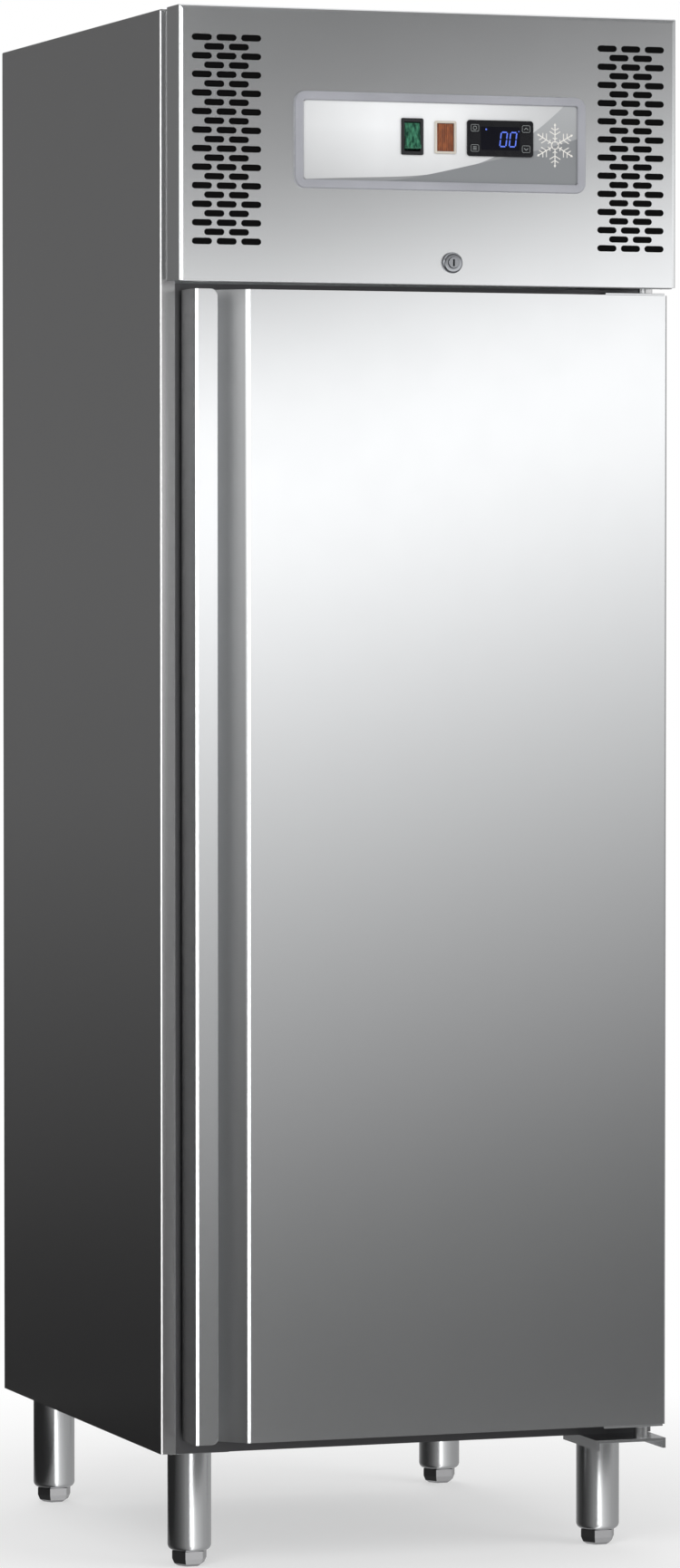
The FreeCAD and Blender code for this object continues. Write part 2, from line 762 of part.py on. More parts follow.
def bush_pockets():
    """Square pockets for the two hinge bushes at the ends of the door."""
    return Part.makeCompound([bush_block(DOOR_BOTTOM), bush_block(DOOR_TOP - BUSH_LENGTH)])


def cam_pocket():
    """Pocket in the head of the door that the lock's cam swings into."""
    reach = LOCK_Z - DOOR_TOP
    swing = math.sqrt(CAM_LENGTH**2 - reach**2)
    x0 = LOCK_X - swing - CAM_HALF_WIDTH - CAM_CLEARANCE
    x1 = LOCK_X + CAM_HALF_WIDTH + CAM_CLEARANCE
    y0 = CAM_FRONT - CAM_CLEARANCE
    y1 = CAM_FRONT + CAM_THICK + CAM_CLEARANCE
    return block(x0, x1, y0, y1, LOCK_Z - CAM_LENGTH - CAM_CLEARANCE, DOOR_TOP)


def door_filling(z0, z1):
    """The space inside the door skin between two heights."""
    hollow, radii = door_outline(SHEET)
    return prism(lifted(hollow, z0), radii, (0, 0, z1 - z0))


def door_insulation():
    """Foam core of the door, behind the channel and the skin."""
    core = door_filling(DOOR_BOTTOM + DOOR_CAP, DOOR_TOP - DOOR_CAP)
    back = block(DOOR_LEFT, DOOR_RIGHT, -DOOR_BACK - SHEET, -DOOR_BACK, DOOR_BOTTOM, DOOR_TOP)
    return core.cut(back).cut(bush_pockets()).cut(cam_pocket())


def door_cap(z0):
    """End cap that closes the skin; its outline leaves the grip channel open."""
    back = block(DOOR_LEFT, DOOR_RIGHT, -DOOR_BACK - SHEET, -DOOR_BACK, DOOR_BOTTOM, DOOR_TOP)
    cap = door_filling(z0, z0 + DOOR_CAP).cut(back)
    return cap.cut(bush_pockets()).cut(cam_pocket())


def gasket_ring(width, inset, y0, y1):
    """A rectangular ring with mitred corners round the opening, between two depths."""
    outer_half = INNER_HALF + GASKET_OVERLAP + GASKET_WIDTH - inset
    top = INNER_CEILING + GASKET_OVERLAP + GASKET_WIDTH - inset
    low = INNER_FLOOR - GASKET_OVERLAP - GASKET_WIDTH + inset
    outer = block(-outer_half, outer_half, y0, y1, low, top)
    return outer.cut(block(-outer_half + width, outer_half - width, y0, y1, low + width, top - width))


def door_liner():
    """Inner door pan: a flat back with a raised middle inside the gasket."""
    flat = block(
        DOOR_LEFT + LIP_THICK, DOOR_RIGHT - SHEET, -DOOR_BACK - SHEET, -DOOR_BACK, DOOR_BOTTOM, DOOR_TOP
    )
    middle = (INNER_CEILING + INNER_FLOOR) / 2
    wide = 2 * (INNER_HALF - GASKET_OVERLAP)
    tall = INNER_CEILING - INNER_FLOOR - 2 * GASKET_OVERLAP
    raised = panel(0, middle, wide, tall, LINER_CORNER, -DOOR_BACK, -DOOR_BACK + LINER_RISE)
    slimmer = 2 * SHEET
    floor = -DOOR_BACK + LINER_RISE - SHEET
    corner = LINER_CORNER - SHEET
    hollow = panel(0, middle, wide - slimmer, tall - slimmer, corner, -DOOR_BACK - SHEET, floor)
    return joined([flat, raised]).cut(hollow)


def door_gasket():
    """Magnetic gasket: a foot on the door, a slim bellows and a wider magnet head."""
    depth = DOOR_BACK - GASKET_CLEARANCE
    foot_end = -DOOR_BACK + depth * GASKET_FOOT
    neck_end = foot_end + depth * GASKET_NECK
    base = gasket_ring(GASKET_WIDTH, 0, -DOOR_BACK, foot_end)
    neck = gasket_ring(GASKET_WIDTH / 2, GASKET_WIDTH / 4, foot_end, neck_end)
    head_width = GASKET_WIDTH * GASKET_HEAD
    head = gasket_ring(head_width, (GASKET_WIDTH - head_width) / 2, neck_end, -GASKET_CLEARANCE)
    return joined([base, neck, head])


def hinge_bush(z0):
    """Bush in the end of the door, bored for a hinge pin with a running fit."""
    bore = rod(PIN_RADIUS + PIN_FIT, (PIVOT_X, PIVOT_Y, z0), (PIVOT_X, PIVOT_Y, z0 + BUSH_LENGTH))
    return bush_block(z0).cut(bore)


def door_hinge_plate(z0):
    """Plate screwed on the end of the door, round the pin."""
    x1 = DOOR_RIGHT - DOOR_BEND
    y0 = -DOOR_FRONT + SHEET
    plate = block(x1 - HINGE_PLATE_WIDTH, x1, y0, y0 + HINGE_PLATE_DEPTH, z0, z0 + HINGE_PLATE)
    hole = rod(PIN_RADIUS + PIN_FIT, (PIVOT_X, PIVOT_Y, z0), (PIVOT_X, PIVOT_Y, z0 + HINGE_PLATE))
    return plate.cut(hole)


# --- hinge brackets and pins on the cabinet


def bracket_span(x1):
    """The two x of a hinge bracket that ends at a right-hand x."""
    return x1 - BRACKET_WIDTH, x1


def top_hinge_bracket():
    """Flat bracket on the roof, beside the return of the side panel, that carries the upper pin."""
    x0, x1 = bracket_span(HALF - SIDE_RETURN - THRUST_GAP)
    plate = block(x0, x1, -BRACKET_REACH, BRACKET_HOLD, BOX_TOP, BOX_TOP + BRACKET_THICK)
    middle_z = BOX_TOP + BRACKET_THICK / 2
    edges = edges_near(plate, lambda p: p.y < -BRACKET_REACH + 1 and abs(p.z - middle_z) < 1)
    plate = plate.makeChamfer(BRACKET_THICK * 2, edges)
    hole = rod(PIN_RADIUS, (PIVOT_X, PIVOT_Y, BOX_TOP), (PIVOT_X, PIVOT_Y, BOX_TOP + BRACKET_THICK))
    return plate.cut(hole)


def bottom_hinge_bracket():
    """Plate under the cabinet with both ends turned down, carrying the lower boss."""
    x0, x1 = bracket_span(HALF - BRACKET_THICK)
    top = LEG_SPACE
    low = top - BRACKET_THICK
    plate = block(x0, x1, -BRACKET_REACH, BRACKET_HOLD, low, top)
    left = block(x0, x0 + BRACKET_THICK, -BRACKET_REACH, BRACKET_HOLD, low - BRACKET_FLANGE, low)
    right = block(x1 - BRACKET_THICK, x1, -BRACKET_REACH, BRACKET_HOLD, low - BRACKET_FLANGE, low)
    boss_top = DOOR_BOTTOM - HINGE_PLATE - THRUST_GAP
    boss = turned([(BOSS_RADIUS, top), (BOSS_RADIUS, boss_top)], BOSS_SIDES)
    boss.translate(Vector(PIVOT_X, PIVOT_Y, 0))
    hole = rod(PIN_RADIUS, (PIVOT_X, PIVOT_Y, low), (PIVOT_X, PIVOT_Y, boss_top))
    leg_x, leg_y = leg_places()["front_right"]
    half = LEG_PLATE_SIZE / 2 + THRUST_GAP
    relief = block(leg_x - half, leg_x + half, leg_y - half, leg_y + half, low, top)
    return joined([plate, left, right, boss]).cut(hole).cut(relief)


def bottom_hinge_pin():
    """Pin pressed into the lower boss, reaching up into the door's bush."""
    low = LEG_SPACE - BRACKET_THICK
    high = DOOR_BOTTOM + BUSH_LENGTH - THRUST_GAP
    return rod(PIN_RADIUS, (PIVOT_X, PIVOT_Y, low), (PIVOT_X, PIVOT_Y, high))


def top_hinge_pin():
    """Pin pressed into the upper bracket, reaching down into the door's bush."""
    low = DOOR_TOP - BUSH_LENGTH + THRUST_GAP
    return rod(PIN_RADIUS, (PIVOT_X, PIVOT_Y, low), (PIVOT_X, PIVOT_Y, BOX_TOP + BRACKET_THICK))


# --- fascia and its controls


def slot_cutter(middle_x, middle_z):
    """One vent slot with rounded ends, drawn with a few straight facets each."""
    radius = SLOT_HEIGHT / 2
    straight = SLOT_LENGTH / 2 - radius
    points = []
    for end in (1, -1):
        for i in range(SLOT_END_FACETS + 1):
            angle = -math.pi / 2 + i * math.pi / SLOT_END_FACETS
            x = middle_x + end * (straight + radius * math.cos(angle))
            z = middle_z + end * radius * math.sin(angle)
            points.append(front(x, z, -FASCIA_DEPTH))
    return prism(points, 0, (0, FASCIA_BEND, 0))


def vent_slots():
    """Both groups of vent slots: full rows of three with offset rows of two between them."""
    cutters = []
    group_middle = HALF - SLOT_EDGE - SLOT_PITCH - SLOT_LENGTH / 2
    top = HEIGHT - SLOT_TOP_ROW_DROP
    for group in (-group_middle, group_middle):
        for row in range(2 * SLOT_FULL_ROWS - 1):
            z = top - row * SLOT_ROW_PITCH / 2
            offsets = (-1.0, 0.0, 1.0) if row % 2 == 0 else (-0.5, 0.5)
            cutters += [slot_cutter(group + offset * SLOT_PITCH, z) for offset in offsets]
    return Part.makeCompound(cutters)


def control_cutouts(spare, front_y, back_y):
    """Openings behind the switch, lamp and controller, wider than their bodies by a clearance."""
    switch = panel(
        SWITCH_MIDDLE_X, SWITCH_Z, SWITCH_BODY_WIDTH + spare, switch_body_height() + spare, 0, front_y, back_y
    )
    lamp_wide = LAMP_WIDTH - LAMP_RIM + spare
    lamp = panel(LAMP_MIDDLE_X, SWITCH_Z, lamp_wide, LAMP_HEIGHT - LAMP_RIM + spare, 0, front_y, back_y)
    wide = CONTROLLER_WIDTH - 2 * CONTROLLER_BODY_INSET + spare
    tall = CONTROLLER_HEIGHT - 2 * CONTROLLER_BODY_INSET + spare
    case = panel(CONTROLLER_MIDDLE_X, SWITCH_Z, wide, tall, 0, front_y, back_y)
    return Part.makeCompound([switch, lamp, case])


def fascia_panel():
    """Fascia pan: front sheet with vents, bent sides and top, a bottom flange and hinge lugs."""
    back = -FASCIA_DEPTH + FASCIA_RETURN

    def bent(inset, bend, open_back, open_bottom):
        edge = HALF - inset
        front_y = -FASCIA_DEPTH + inset
        pan = block(-edge, edge, front_y, back + open_back, FASCIA_BOTTOM - open_bottom, HEIGHT - inset)
        edges = edges_near(pan, lambda p: abs(p.y - front_y) < 0.1 and p.z > FASCIA_BOTTOM + 1)
        return pan.makeFillet(bend, edges)

    pan = bent(0.0, FASCIA_BEND, 0.0, 0.0).cut(bent(SHEET, FASCIA_BEND - SHEET, 1.0, 1.0))
    inner = HALF - FASCIA_BEND
    flange = block(
        -inner, inner, -FASCIA_DEPTH, -FASCIA_DEPTH + FASCIA_FLANGE, FASCIA_BOTTOM, FASCIA_BOTTOM + SHEET
    )
    pan = joined([pan, flange])
    hole = rod(LOCK_BODY_RADIUS, (LOCK_X, -FASCIA_DEPTH, LOCK_Z), (LOCK_X, -FASCIA_DEPTH + SHEET, LOCK_Z))
    openings = control_cutouts(2 * CUTOUT_CLEARANCE, -FASCIA_DEPTH, -FASCIA_DEPTH + SHEET)
    pan = pan.cut(vent_slots()).cut(openings).cut(hole)
    return joined([pan, fascia_lug(), mirrored(fascia_lug())])


def fascia_lug():
    """Left hinge lug inside the fascia's side, bored for the service pin."""
    x0 = -HALF + SHEET
    outer = (x0, FASCIA_PIVOT_Y, FASCIA_PIVOT_Z)
    inner = (x0 + LUG_THICK, FASCIA_PIVOT_Y, FASCIA_PIVOT_Z)
    lug = rod(LUG_RADIUS, outer, inner)
    hole = rod(FASCIA_PIN_RADIUS + PIN_FIT, outer, inner)
    behind = -FASCIA_DEPTH + FASCIA_RETURN
    trim = block(x0, x0 + LUG_THICK, behind, 0, FASCIA_BOTTOM, HEIGHT)
    return lug.cut(hole).cut(trim)


def fascia_wing():
    """Left cheek behind the fascia: a boss with the service pin and a notch for the fascia's swing."""
    x0 = -HALF + WING_INSET
    low = BOX_TOP + BRACKET_THICK + THRUST_GAP
    high = HEIGHT - WING_TOP_GAP
    back_edge = -FASCIA_DEPTH + FASCIA_RETURN - FASCIA_PIVOT_Y
    sweep = math.hypot(back_edge, FASCIA_PIVOT_DROP) + WING_CLEARANCE
    boss_front = FASCIA_PIVOT_Y - WING_BOSS_HALF
    boss_back = FASCIA_PIVOT_Y + WING_BOSS_HALF
    boss_top = FASCIA_PIVOT_Z + WING_BOSS_RISE
    notch_floor = FASCIA_PIVOT_Z - sweep
    outline = [
        side(-WING_REACH, low, x0),
        side(0, low, x0),
        side(0, high, x0),
        side(FASCIA_PIVOT_Y + sweep, high, x0),
        side(FASCIA_PIVOT_Y + sweep, notch_floor, x0),
        side(boss_back, notch_floor, x0),
        side(boss_back, boss_top - WING_BOSS_CHAMFER, x0),
        side(boss_back - WING_BOSS_CHAMFER, boss_top, x0),
        side(boss_front, boss_top, x0),
        side(-WING_REACH, notch_floor, x0),
    ]
    web = prism(outline, 0, (WING_THICK, 0, 0))
    foot_end = -HALF + SIDE_RETURN
    flange = block(x0, foot_end, -WING_FLANGE, 0, low, high)
    pin_end = -HALF + SHEET + THRUST_GAP
    tip = (pin_end, FASCIA_PIVOT_Y, FASCIA_PIVOT_Z)
    pin = rod(FASCIA_PIN_RADIUS, tip, (x0, FASCIA_PIVOT_Y, FASCIA_PIVOT_Z))
    return joined([web, flange, pin])


def control_bezel():
    """Raised rounded frame round the control plate."""
    face = -FASCIA_DEPTH - BEZEL_PROUD
    frame = panel(BEZEL_MIDDLE_X, BEZEL_Z, BEZEL_WIDTH, BEZEL_HEIGHT, BEZEL_CORNER, face, -FASCIA_DEPTH)
    rim = edges_near(frame, lambda p: abs(p.y - face) < 0.1)
    frame = frame.makeChamfer(BEZEL_PROUD / 3, rim)
    wide = BEZEL_WIDTH - 2 * BEZEL_BAND
    tall = BEZEL_HEIGHT - 2 * BEZEL_BAND
    return frame.cut(panel(BEZEL_MIDDLE_X, BEZEL_Z, wide, tall, BEZEL_CORNER / 3, face, -FASCIA_DEPTH))


def control_plate():
    """Printed plate inside the bezel, with the openings for the controls."""
    wide = BEZEL_WIDTH - 2 * BEZEL_BAND
    tall = BEZEL_HEIGHT - 2 * BEZEL_BAND
    plate = panel(BEZEL_MIDDLE_X, BEZEL_Z, wide, tall, BEZEL_CORNER / 3, PANEL_FACE, -FASCIA_DEPTH)
    return plate.cut(control_cutouts(2 * CUTOUT_CLEARANCE, PANEL_FACE, -FASCIA_DEPTH))


def rocker_window_height():
    """Height of the window that the rocker's corners swing through."""
    return 2 * (math.hypot(ROCKER_HALF, ROCKER_FRONT) + ROCKER_GAP)


def switch_body_height():
    """Height of the switch body behind the plate."""
    return rocker_window_height() + 2 * SWITCH_WALL


def rocker_axis_y():
    """Depth of the rocker's pivot."""
    return PANEL_FACE + ROCKER_AXIS_DEPTH


def switch_housing():
    """Switch body with its front flange, the window of the rocker and three terminals."""
    back = PANEL_FACE + SWITCH_BODY_DEPTH
    x = SWITCH_MIDDLE_X
    flange = panel(x, SWITCH_Z, SWITCH_WIDTH, SWITCH_HEIGHT, FRONT_CORNER, FLANGE_FACE, PANEL_FACE)
    body = panel(SWITCH_MIDDLE_X, SWITCH_Z, SWITCH_BODY_WIDTH, switch_body_height(), 0, PANEL_FACE, back)
    window_width = SWITCH_BODY_WIDTH - 2 * SWITCH_WALL
    floor = back - SWITCH_WALL
    window = panel(SWITCH_MIDDLE_X, SWITCH_Z, window_width, rocker_window_height(), 0, FLANGE_FACE, floor)
    blades = []
    for i in (-1, 0, 1):
        z = SWITCH_Z + i * ROCKER_HALF / 2
        blades.append(
            block(
                SWITCH_MIDDLE_X - TERMINAL_WIDTH / 2,
                SWITCH_MIDDLE_X + TERMINAL_WIDTH / 2,
                back,
                back + TERMINAL_LENGTH,
                z - TERMINAL_THICK / 2,
                z + TERMINAL_THICK / 2,
            )
        )
    half = window_width / 2 + ROCKER_PIVOT_BITE + THRUST_GAP
    pivot = rocker_pivot(half, ROCKER_PIVOT_RADIUS + ROCKER_PIVOT_FIT)
    return joined([flange, body] + blades).cut(window).cut(pivot)


def rocker_pivot(half, radius):
    """Round bar on the rocker's axis, as long on each side of its middle."""
    start = (SWITCH_MIDDLE_X - half, rocker_axis_y(), SWITCH_Z)
    return rod(radius, start, (SWITCH_MIDDLE_X + half, rocker_axis_y(), SWITCH_Z))


def power_rocker():
    """Rocker with a shallow V face, shown with its upper end pressed."""
    y = rocker_axis_y()
    half = (SWITCH_BODY_WIDTH - 2 * SWITCH_WALL) / 2 - ROCKER_GAP
    x0 = SWITCH_MIDDLE_X - half
    tip = y - ROCKER_FRONT
    corners = [
        side(tip, SWITCH_Z + ROCKER_HALF, x0),
        side(tip + ROCKER_FRONT * ROCKER_VALLEY, SWITCH_Z, x0),
        side(tip, SWITCH_Z - ROCKER_HALF, x0),
        side(y, SWITCH_Z - ROCKER_HALF, x0),
        side(y + ROCKER_TAIL, SWITCH_Z - ROCKER_TAIL, x0),
        side(y + ROCKER_TAIL, SWITCH_Z + ROCKER_TAIL, x0),
        side(y, SWITCH_Z + ROCKER_HALF, x0),
    ]
    body = prism(corners, [1, 0, 1, 0, 0, 0, 0], (2 * half, 0, 0))
    reach = half + ROCKER_GAP + ROCKER_PIVOT_BITE
    rocker = joined([body, rocker_pivot(reach, ROCKER_PIVOT_RADIUS)])
    rocker.rotate(Vector(0, y, SWITCH_Z), Vector(1, 0, 0), -ROCKER_TRAVEL / 2)
    return rocker


def lamp_seat():
    """Width and height of the lens and of its seat in the frame."""
    rims = LAMP_RIM + LAMP_RIM / 2
    return LAMP_WIDTH - rims, LAMP_HEIGHT - rims


def pilot_frame():
    """Pale frame and body of the pilot lamp, open at the front for its lens."""
    wide = LAMP_WIDTH - LAMP_RIM
    tall = LAMP_HEIGHT - LAMP_RIM
    seat_wide, seat_tall = lamp_seat()
    frame = panel(LAMP_MIDDLE_X, SWITCH_Z, LAMP_WIDTH, LAMP_HEIGHT, FRONT_CORNER, FLANGE_FACE, PANEL_FACE)
    body = panel(LAMP_MIDDLE_X, SWITCH_Z, wide, tall, 0, PANEL_FACE, PANEL_FACE + LAMP_BODY_DEPTH)
    seat = panel(LAMP_MIDDLE_X, SWITCH_Z, seat_wide, seat_tall, 0, FLANGE_FACE, PANEL_FACE + LAMP_RIM)
    return joined([frame, body]).cut(seat)


def pilot_lens():
    """Flat lens set back in the lamp's frame."""
    wide, tall = lamp_seat()
    return panel(LAMP_MIDDLE_X, SWITCH_Z, wide, tall, 0, PANEL_FACE, PANEL_FACE + LAMP_RIM)


def key_middles():
    """The middles of the four keys by name: setting keys at the left, arrows at the right."""
    reach = CONTROLLER_WIDTH / 2 - KEY_EDGE - KEY_WIDTH / 2
    low = SWITCH_Z - KEY_PITCH / 2
    high = SWITCH_Z + KEY_PITCH / 2
    left = CONTROLLER_MIDDLE_X - reach
    right = CONTROLLER_MIDDLE_X + reach
    return {
        "key_set": (left, high),
        "key_menu": (left, low),
        "key_up": (right, high),
        "key_down": (right, low),
    }


def controller_case():
    """Controller: a front with four key wells and a window seat, and the body behind it."""
    wide = CONTROLLER_WIDTH - 2 * CONTROLLER_BODY_INSET
    tall = CONTROLLER_HEIGHT - 2 * CONTROLLER_BODY_INSET
    x = CONTROLLER_MIDDLE_X
    body_back = PANEL_FACE + CONTROLLER_BODY_DEPTH
    face = panel(x, SWITCH_Z, CONTROLLER_WIDTH, CONTROLLER_HEIGHT, CONTROLLER_CORNER, FLANGE_FACE, PANEL_FACE)
    body = panel(x, SWITCH_Z, wide, tall, 0, PANEL_FACE, body_back)
    seat_back = FLANGE_FACE + WINDOW_THICK
    seat = panel(x, SWITCH_Z, WINDOW_WIDTH, WINDOW_HEIGHT, FRONT_CORNER, FLANGE_FACE, seat_back)
    well_floor = FLANGE_FACE + KEY_THICK + 2 * KEY_GAP
    wells = []
    for x, z in key_middles().values():
        well_wide = KEY_WIDTH + 2 * KEY_GAP
        wells.append(panel(x, z, well_wide, KEY_HEIGHT + 2 * KEY_GAP, 0, FLANGE_FACE, well_floor))
    return joined([face, body]).cut(seat).cut(Part.makeCompound(wells))


def display_window():
    """Dark window over the digits."""
    back = FLANGE_FACE + WINDOW_THICK
    return panel(CONTROLLER_MIDDLE_X, SWITCH_Z, WINDOW_WIDTH, WINDOW_HEIGHT, FRONT_CORNER, FLANGE_FACE, back)


def controller_key(x, z):
    """Push key, standing proud of the controller by its travel."""
    face = FLANGE_FACE - KEY_TRAVEL
    key = panel(x, z, KEY_WIDTH, KEY_HEIGHT, 0, face, face + KEY_THICK)
    rim = edges_near(key, lambda p: abs(p.y - face) < 0.01)
    return key.makeChamfer(KEY_GAP, rim)


def lock_housing():
    """Lock barrel housing: a bevelled rim, a round body through the fascia and its nut."""
    rim_face = -FASCIA_DEPTH - LOCK_RIM_PROUD
    back = CAM_FRONT - THRUST_GAP
    bevel = LOCK_RIM_PROUD / 2
    steps = [
        (LOCK_RIM_RADIUS - bevel, rim_face),
        (LOCK_RIM_RADIUS, rim_face + bevel),
        (LOCK_RIM_RADIUS, -FASCIA_DEPTH),
    ]
    rim = turned_across(steps, LOCK_SIDES, LOCK_X, LOCK_Z)
    barrel = [(LOCK_BODY_RADIUS, -FASCIA_DEPTH), (LOCK_BODY_RADIUS, back)]
    body = turned_across(barrel, LOCK_SIDES, LOCK_X, LOCK_Z)
    nut_y = -FASCIA_DEPTH + SHEET
    hexagon = [
        front(
            LOCK_X + LOCK_NUT_RADIUS * math.cos(i * math.pi / 3),
            LOCK_Z + LOCK_NUT_RADIUS * math.sin(i * math.pi / 3),
            nut_y,
        )
        for i in range(6)
    ]
    nut = prism(hexagon, 0, (0, LOCK_NUT_THICK, 0))
    bore = rod(LOCK_PLUG_RADIUS + LOCK_FIT, (LOCK_X, rim_face, LOCK_Z), (LOCK_X, back, LOCK_Z))
    return joined([rim, body, nut]).cut(bore)


def lock_plug():
    """Turning plug with its keyway."""
    plug = rod(LOCK_PLUG_RADIUS, (LOCK_X, FRONT_MOST, LOCK_Z), (LOCK_X, CAM_FRONT, LOCK_Z))
    w = KEYWAY_WIDTH / 2
    h = KEYWAY_HEIGHT / 2
    keyway = block(LOCK_X - w, LOCK_X + w, FRONT_MOST, FRONT_MOST + KEYWAY_DEPTH, LOCK_Z - h, LOCK_Z + h)
    return plug.cut(keyway)


def lock_cam():
    """Flat cam on the plug's end, lying level while the door is unlocked."""
    x1 = LOCK_X + CAM_HALF_WIDTH
    x0 = LOCK_X - CAM_LENGTH
    corners = [
        front(x0, LOCK_Z - CAM_HALF_WIDTH, CAM_FRONT),
        front(x1, LOCK_Z - CAM_HALF_WIDTH, CAM_FRONT),
        front(x1, LOCK_Z + CAM_HALF_WIDTH, CAM_FRONT),
        front(x0, LOCK_Z + CAM_HALF_WIDTH, CAM_FRONT),
    ]
    ends = CAM_HALF_WIDTH * CAM_ROUND
    return prism(corners, [ends / 3, ends, ends, ends / 3], (0, CAM_THICK, 0))


# --- cooling unit


def machine_tray():
    """Base of the cooling unit on the roof, with a turned-up front rim and the airway."""
    edge = HALF - TRAY_MARGIN
    back = BODY_DEPTH - TRAY_MARGIN
    start = BRACKET_HOLD + THRUST_GAP
    deck = block(-edge, edge, start, back, BOX_TOP, DECK)
    rear_rim = block(-edge, edge, back - TRAY_SHEET, back, DECK, DECK + TRAY_RIM)
    front_lip = block(-edge, edge, start, start + TRAY_SHEET, DECK, DECK + TRAY_RIM / 2)
    return joined([deck, rear_rim, front_lip]).cut(airway(BOX_TOP, DECK))


def evaporator_housing():
    """Insulated hood over the airway, with the hole of the drain."""
    half = AIRWAY_WIDTH / 2
    wall = HOUSING_WALL
    top = DECK + HOUSING_HEIGHT
    hood = block(-half - wall, half + wall, AIRWAY_FRONT - wall, AIRWAY_BACK + wall, DECK, top)
    rims = edges_near(hood, lambda p: abs(p.z - top) < 0.1)
    hood = hood.makeChamfer(wall / 4, rims)
    cavity = block(-half, half, AIRWAY_FRONT, AIRWAY_BACK, DECK, top - wall)
    bore = DRAIN_RADIUS + DRAIN_FIT
    z = drain_height()
    drain = rod(bore, (DRIP_TRAY_X, AIRWAY_FRONT - wall, z), (DRIP_TRAY_X, AIRWAY_FRONT, z))
    return hood.cut(cavity).cut(drain)


def drain_height():
    """Height of the drain where it leaves the hood, above the drip tray's rim."""
    return DECK + DRIP_TRAY_HEIGHT + DRAIN_RADIUS + 3


def drain_pipe():
    """Drain from the cold side, level through the hood and down over the drip tray."""
    z = drain_height()
    outlet_y = HOOD_FRONT - DRIP_TRAY_DEPTH / 2
    outlet_z = DECK + DRIP_TRAY_HEIGHT / 2
    route = [(DRIP_TRAY_X, AIRWAY_FRONT, z), (DRIP_TRAY_X, outlet_y, z), (DRIP_TRAY_X, outlet_y, outlet_z)]
    return bent_pipe(route, DRAIN_RADIUS)


def drip_tray():
    """Open tray in which the defrost water evaporates."""
    half = DRIP_TRAY_WIDTH / 2
    back = HOOD_FRONT
    y0 = back - DRIP_TRAY_DEPTH
    x0 = DRIP_TRAY_X - half
    x1 = DRIP_TRAY_X + half
    wall = DRIP_TRAY_WALL
    top = DECK + DRIP_TRAY_HEIGHT
    outer = block(x0, x1, y0, back, DECK, top)
    return outer.cut(block(x0 + wall, x1 - wall, y0 + wall, back - wall, DECK + wall, top))


def ceiling_panel():
    """Air panel under the ceiling: a shallow pan with the fan's outlet and return slots."""
    half = INNER_HALF - CEILING_PANEL_INSET
    y0 = CEILING_PANEL_INSET
    y1 = INNER_DEPTH - CEILING_PANEL_INSET
    low = INNER_CEILING - CEILING_PANEL_DROP
    pan = block(-half, half, y0, y1, low, INNER_CEILING)
    hollow = block(-half + SHEET, half - SHEET, y0 + SHEET, y1 - SHEET, low + SHEET, INNER_CEILING)
    outlet = turned([(COLD_FAN_RADIUS, low), (COLD_FAN_RADIUS, low + SHEET)], OUTLET_SIDES)
    outlet.translate(Vector(0, COLD_FAN_Y, 0))
    bar_start = COLD_FAN_Y - COLD_FAN_RADIUS
    bar_end = COLD_FAN_Y + COLD_FAN_RADIUS
    bars = []
    for i in (-1, 0, 1):
        x = i * COLD_FAN_RADIUS / 2 - GUARD_BAR / 2
        bars.append(block(x, x + GUARD_BAR, bar_start, bar_end, low, low + SHEET))
    slots = []
    slot_half = half - RETURN_SLOT_MARGIN
    for i in range(RETURN_SLOTS):
        y = y0 + RETURN_SLOT_MARGIN + i * RETURN_SLOT_PITCH
        slots.append(block(-slot_half, slot_half, y, y + RETURN_SLOT, low, low + SHEET))
    return pan.cut(hollow).cut(outlet.cut(Part.makeCompound(bars))).cut(Part.makeCompound(slots))


def fin_block(half, y0, y1, z0, z1, foot_z, head_z):
    """Heat exchanger: fins across x on a core, between two end plates that carry it."""
    pitch = 2 * half / COIL_FINS
    core_margin = (y1 - y0) * (1 - COIL_CORE) / 2
    core = block(-half, half, y0 + core_margin, y1 - core_margin, z0, z1)
    fins = []
    for i in range(1, COIL_FINS):
        x = -half + i * pitch
        fins.append(block(x - COIL_FIN / 2, x + COIL_FIN / 2, y0, y1, z0, z1))
    left_end = block(-half - COIL_ENDS, -half, y0, y1, foot_z, head_z)
    ends = [left_end, block(half, half + COIL_ENDS, y0, y1, foot_z, head_z)]
    return joined([core] + fins + ends)


def evaporator_coil():
    """Cold coil hung from the top of the hood."""
    half = AIRWAY_WIDTH / 2 - COIL_SIDE_GAP
    y1 = AIRWAY_BACK - THRUST_GAP
    z0 = DECK + COIL_FLOOR_GAP
    hood_ceiling = DECK + HOUSING_HEIGHT - HOUSING_WALL
    return fin_block(half, y1 - COIL_DEPTH, y1, z0, z0 + COIL_HEIGHT, z0, hood_ceiling)


def condenser_coil():
    """Warm coil that stands on the tray behind the right-hand vents."""
    half = CONDENSER_WIDTH / 2 - COIL_ENDS
    y0 = condenser_front()
    z0 = DECK + CONDENSER_RISE
    coil = fin_block(half, y0, y0 + CONDENSER_DEPTH, z0, z0 + CONDENSER_SIZE, DECK, z0 + CONDENSER_SIZE)
    coil.translate(Vector(CONDENSER_MIDDLE_X, 0, 0))
    return coil


def condenser_front():
    """Front of the condenser, behind the front lip of the tray."""
    return BRACKET_HOLD + THRUST_GAP + TRAY_SHEET + CONDENSER_LIP_GAP


def shroud_y():
    """Depth where the shroud begins, on the back of the condenser."""
    return condenser_front() + CONDENSER_DEPTH


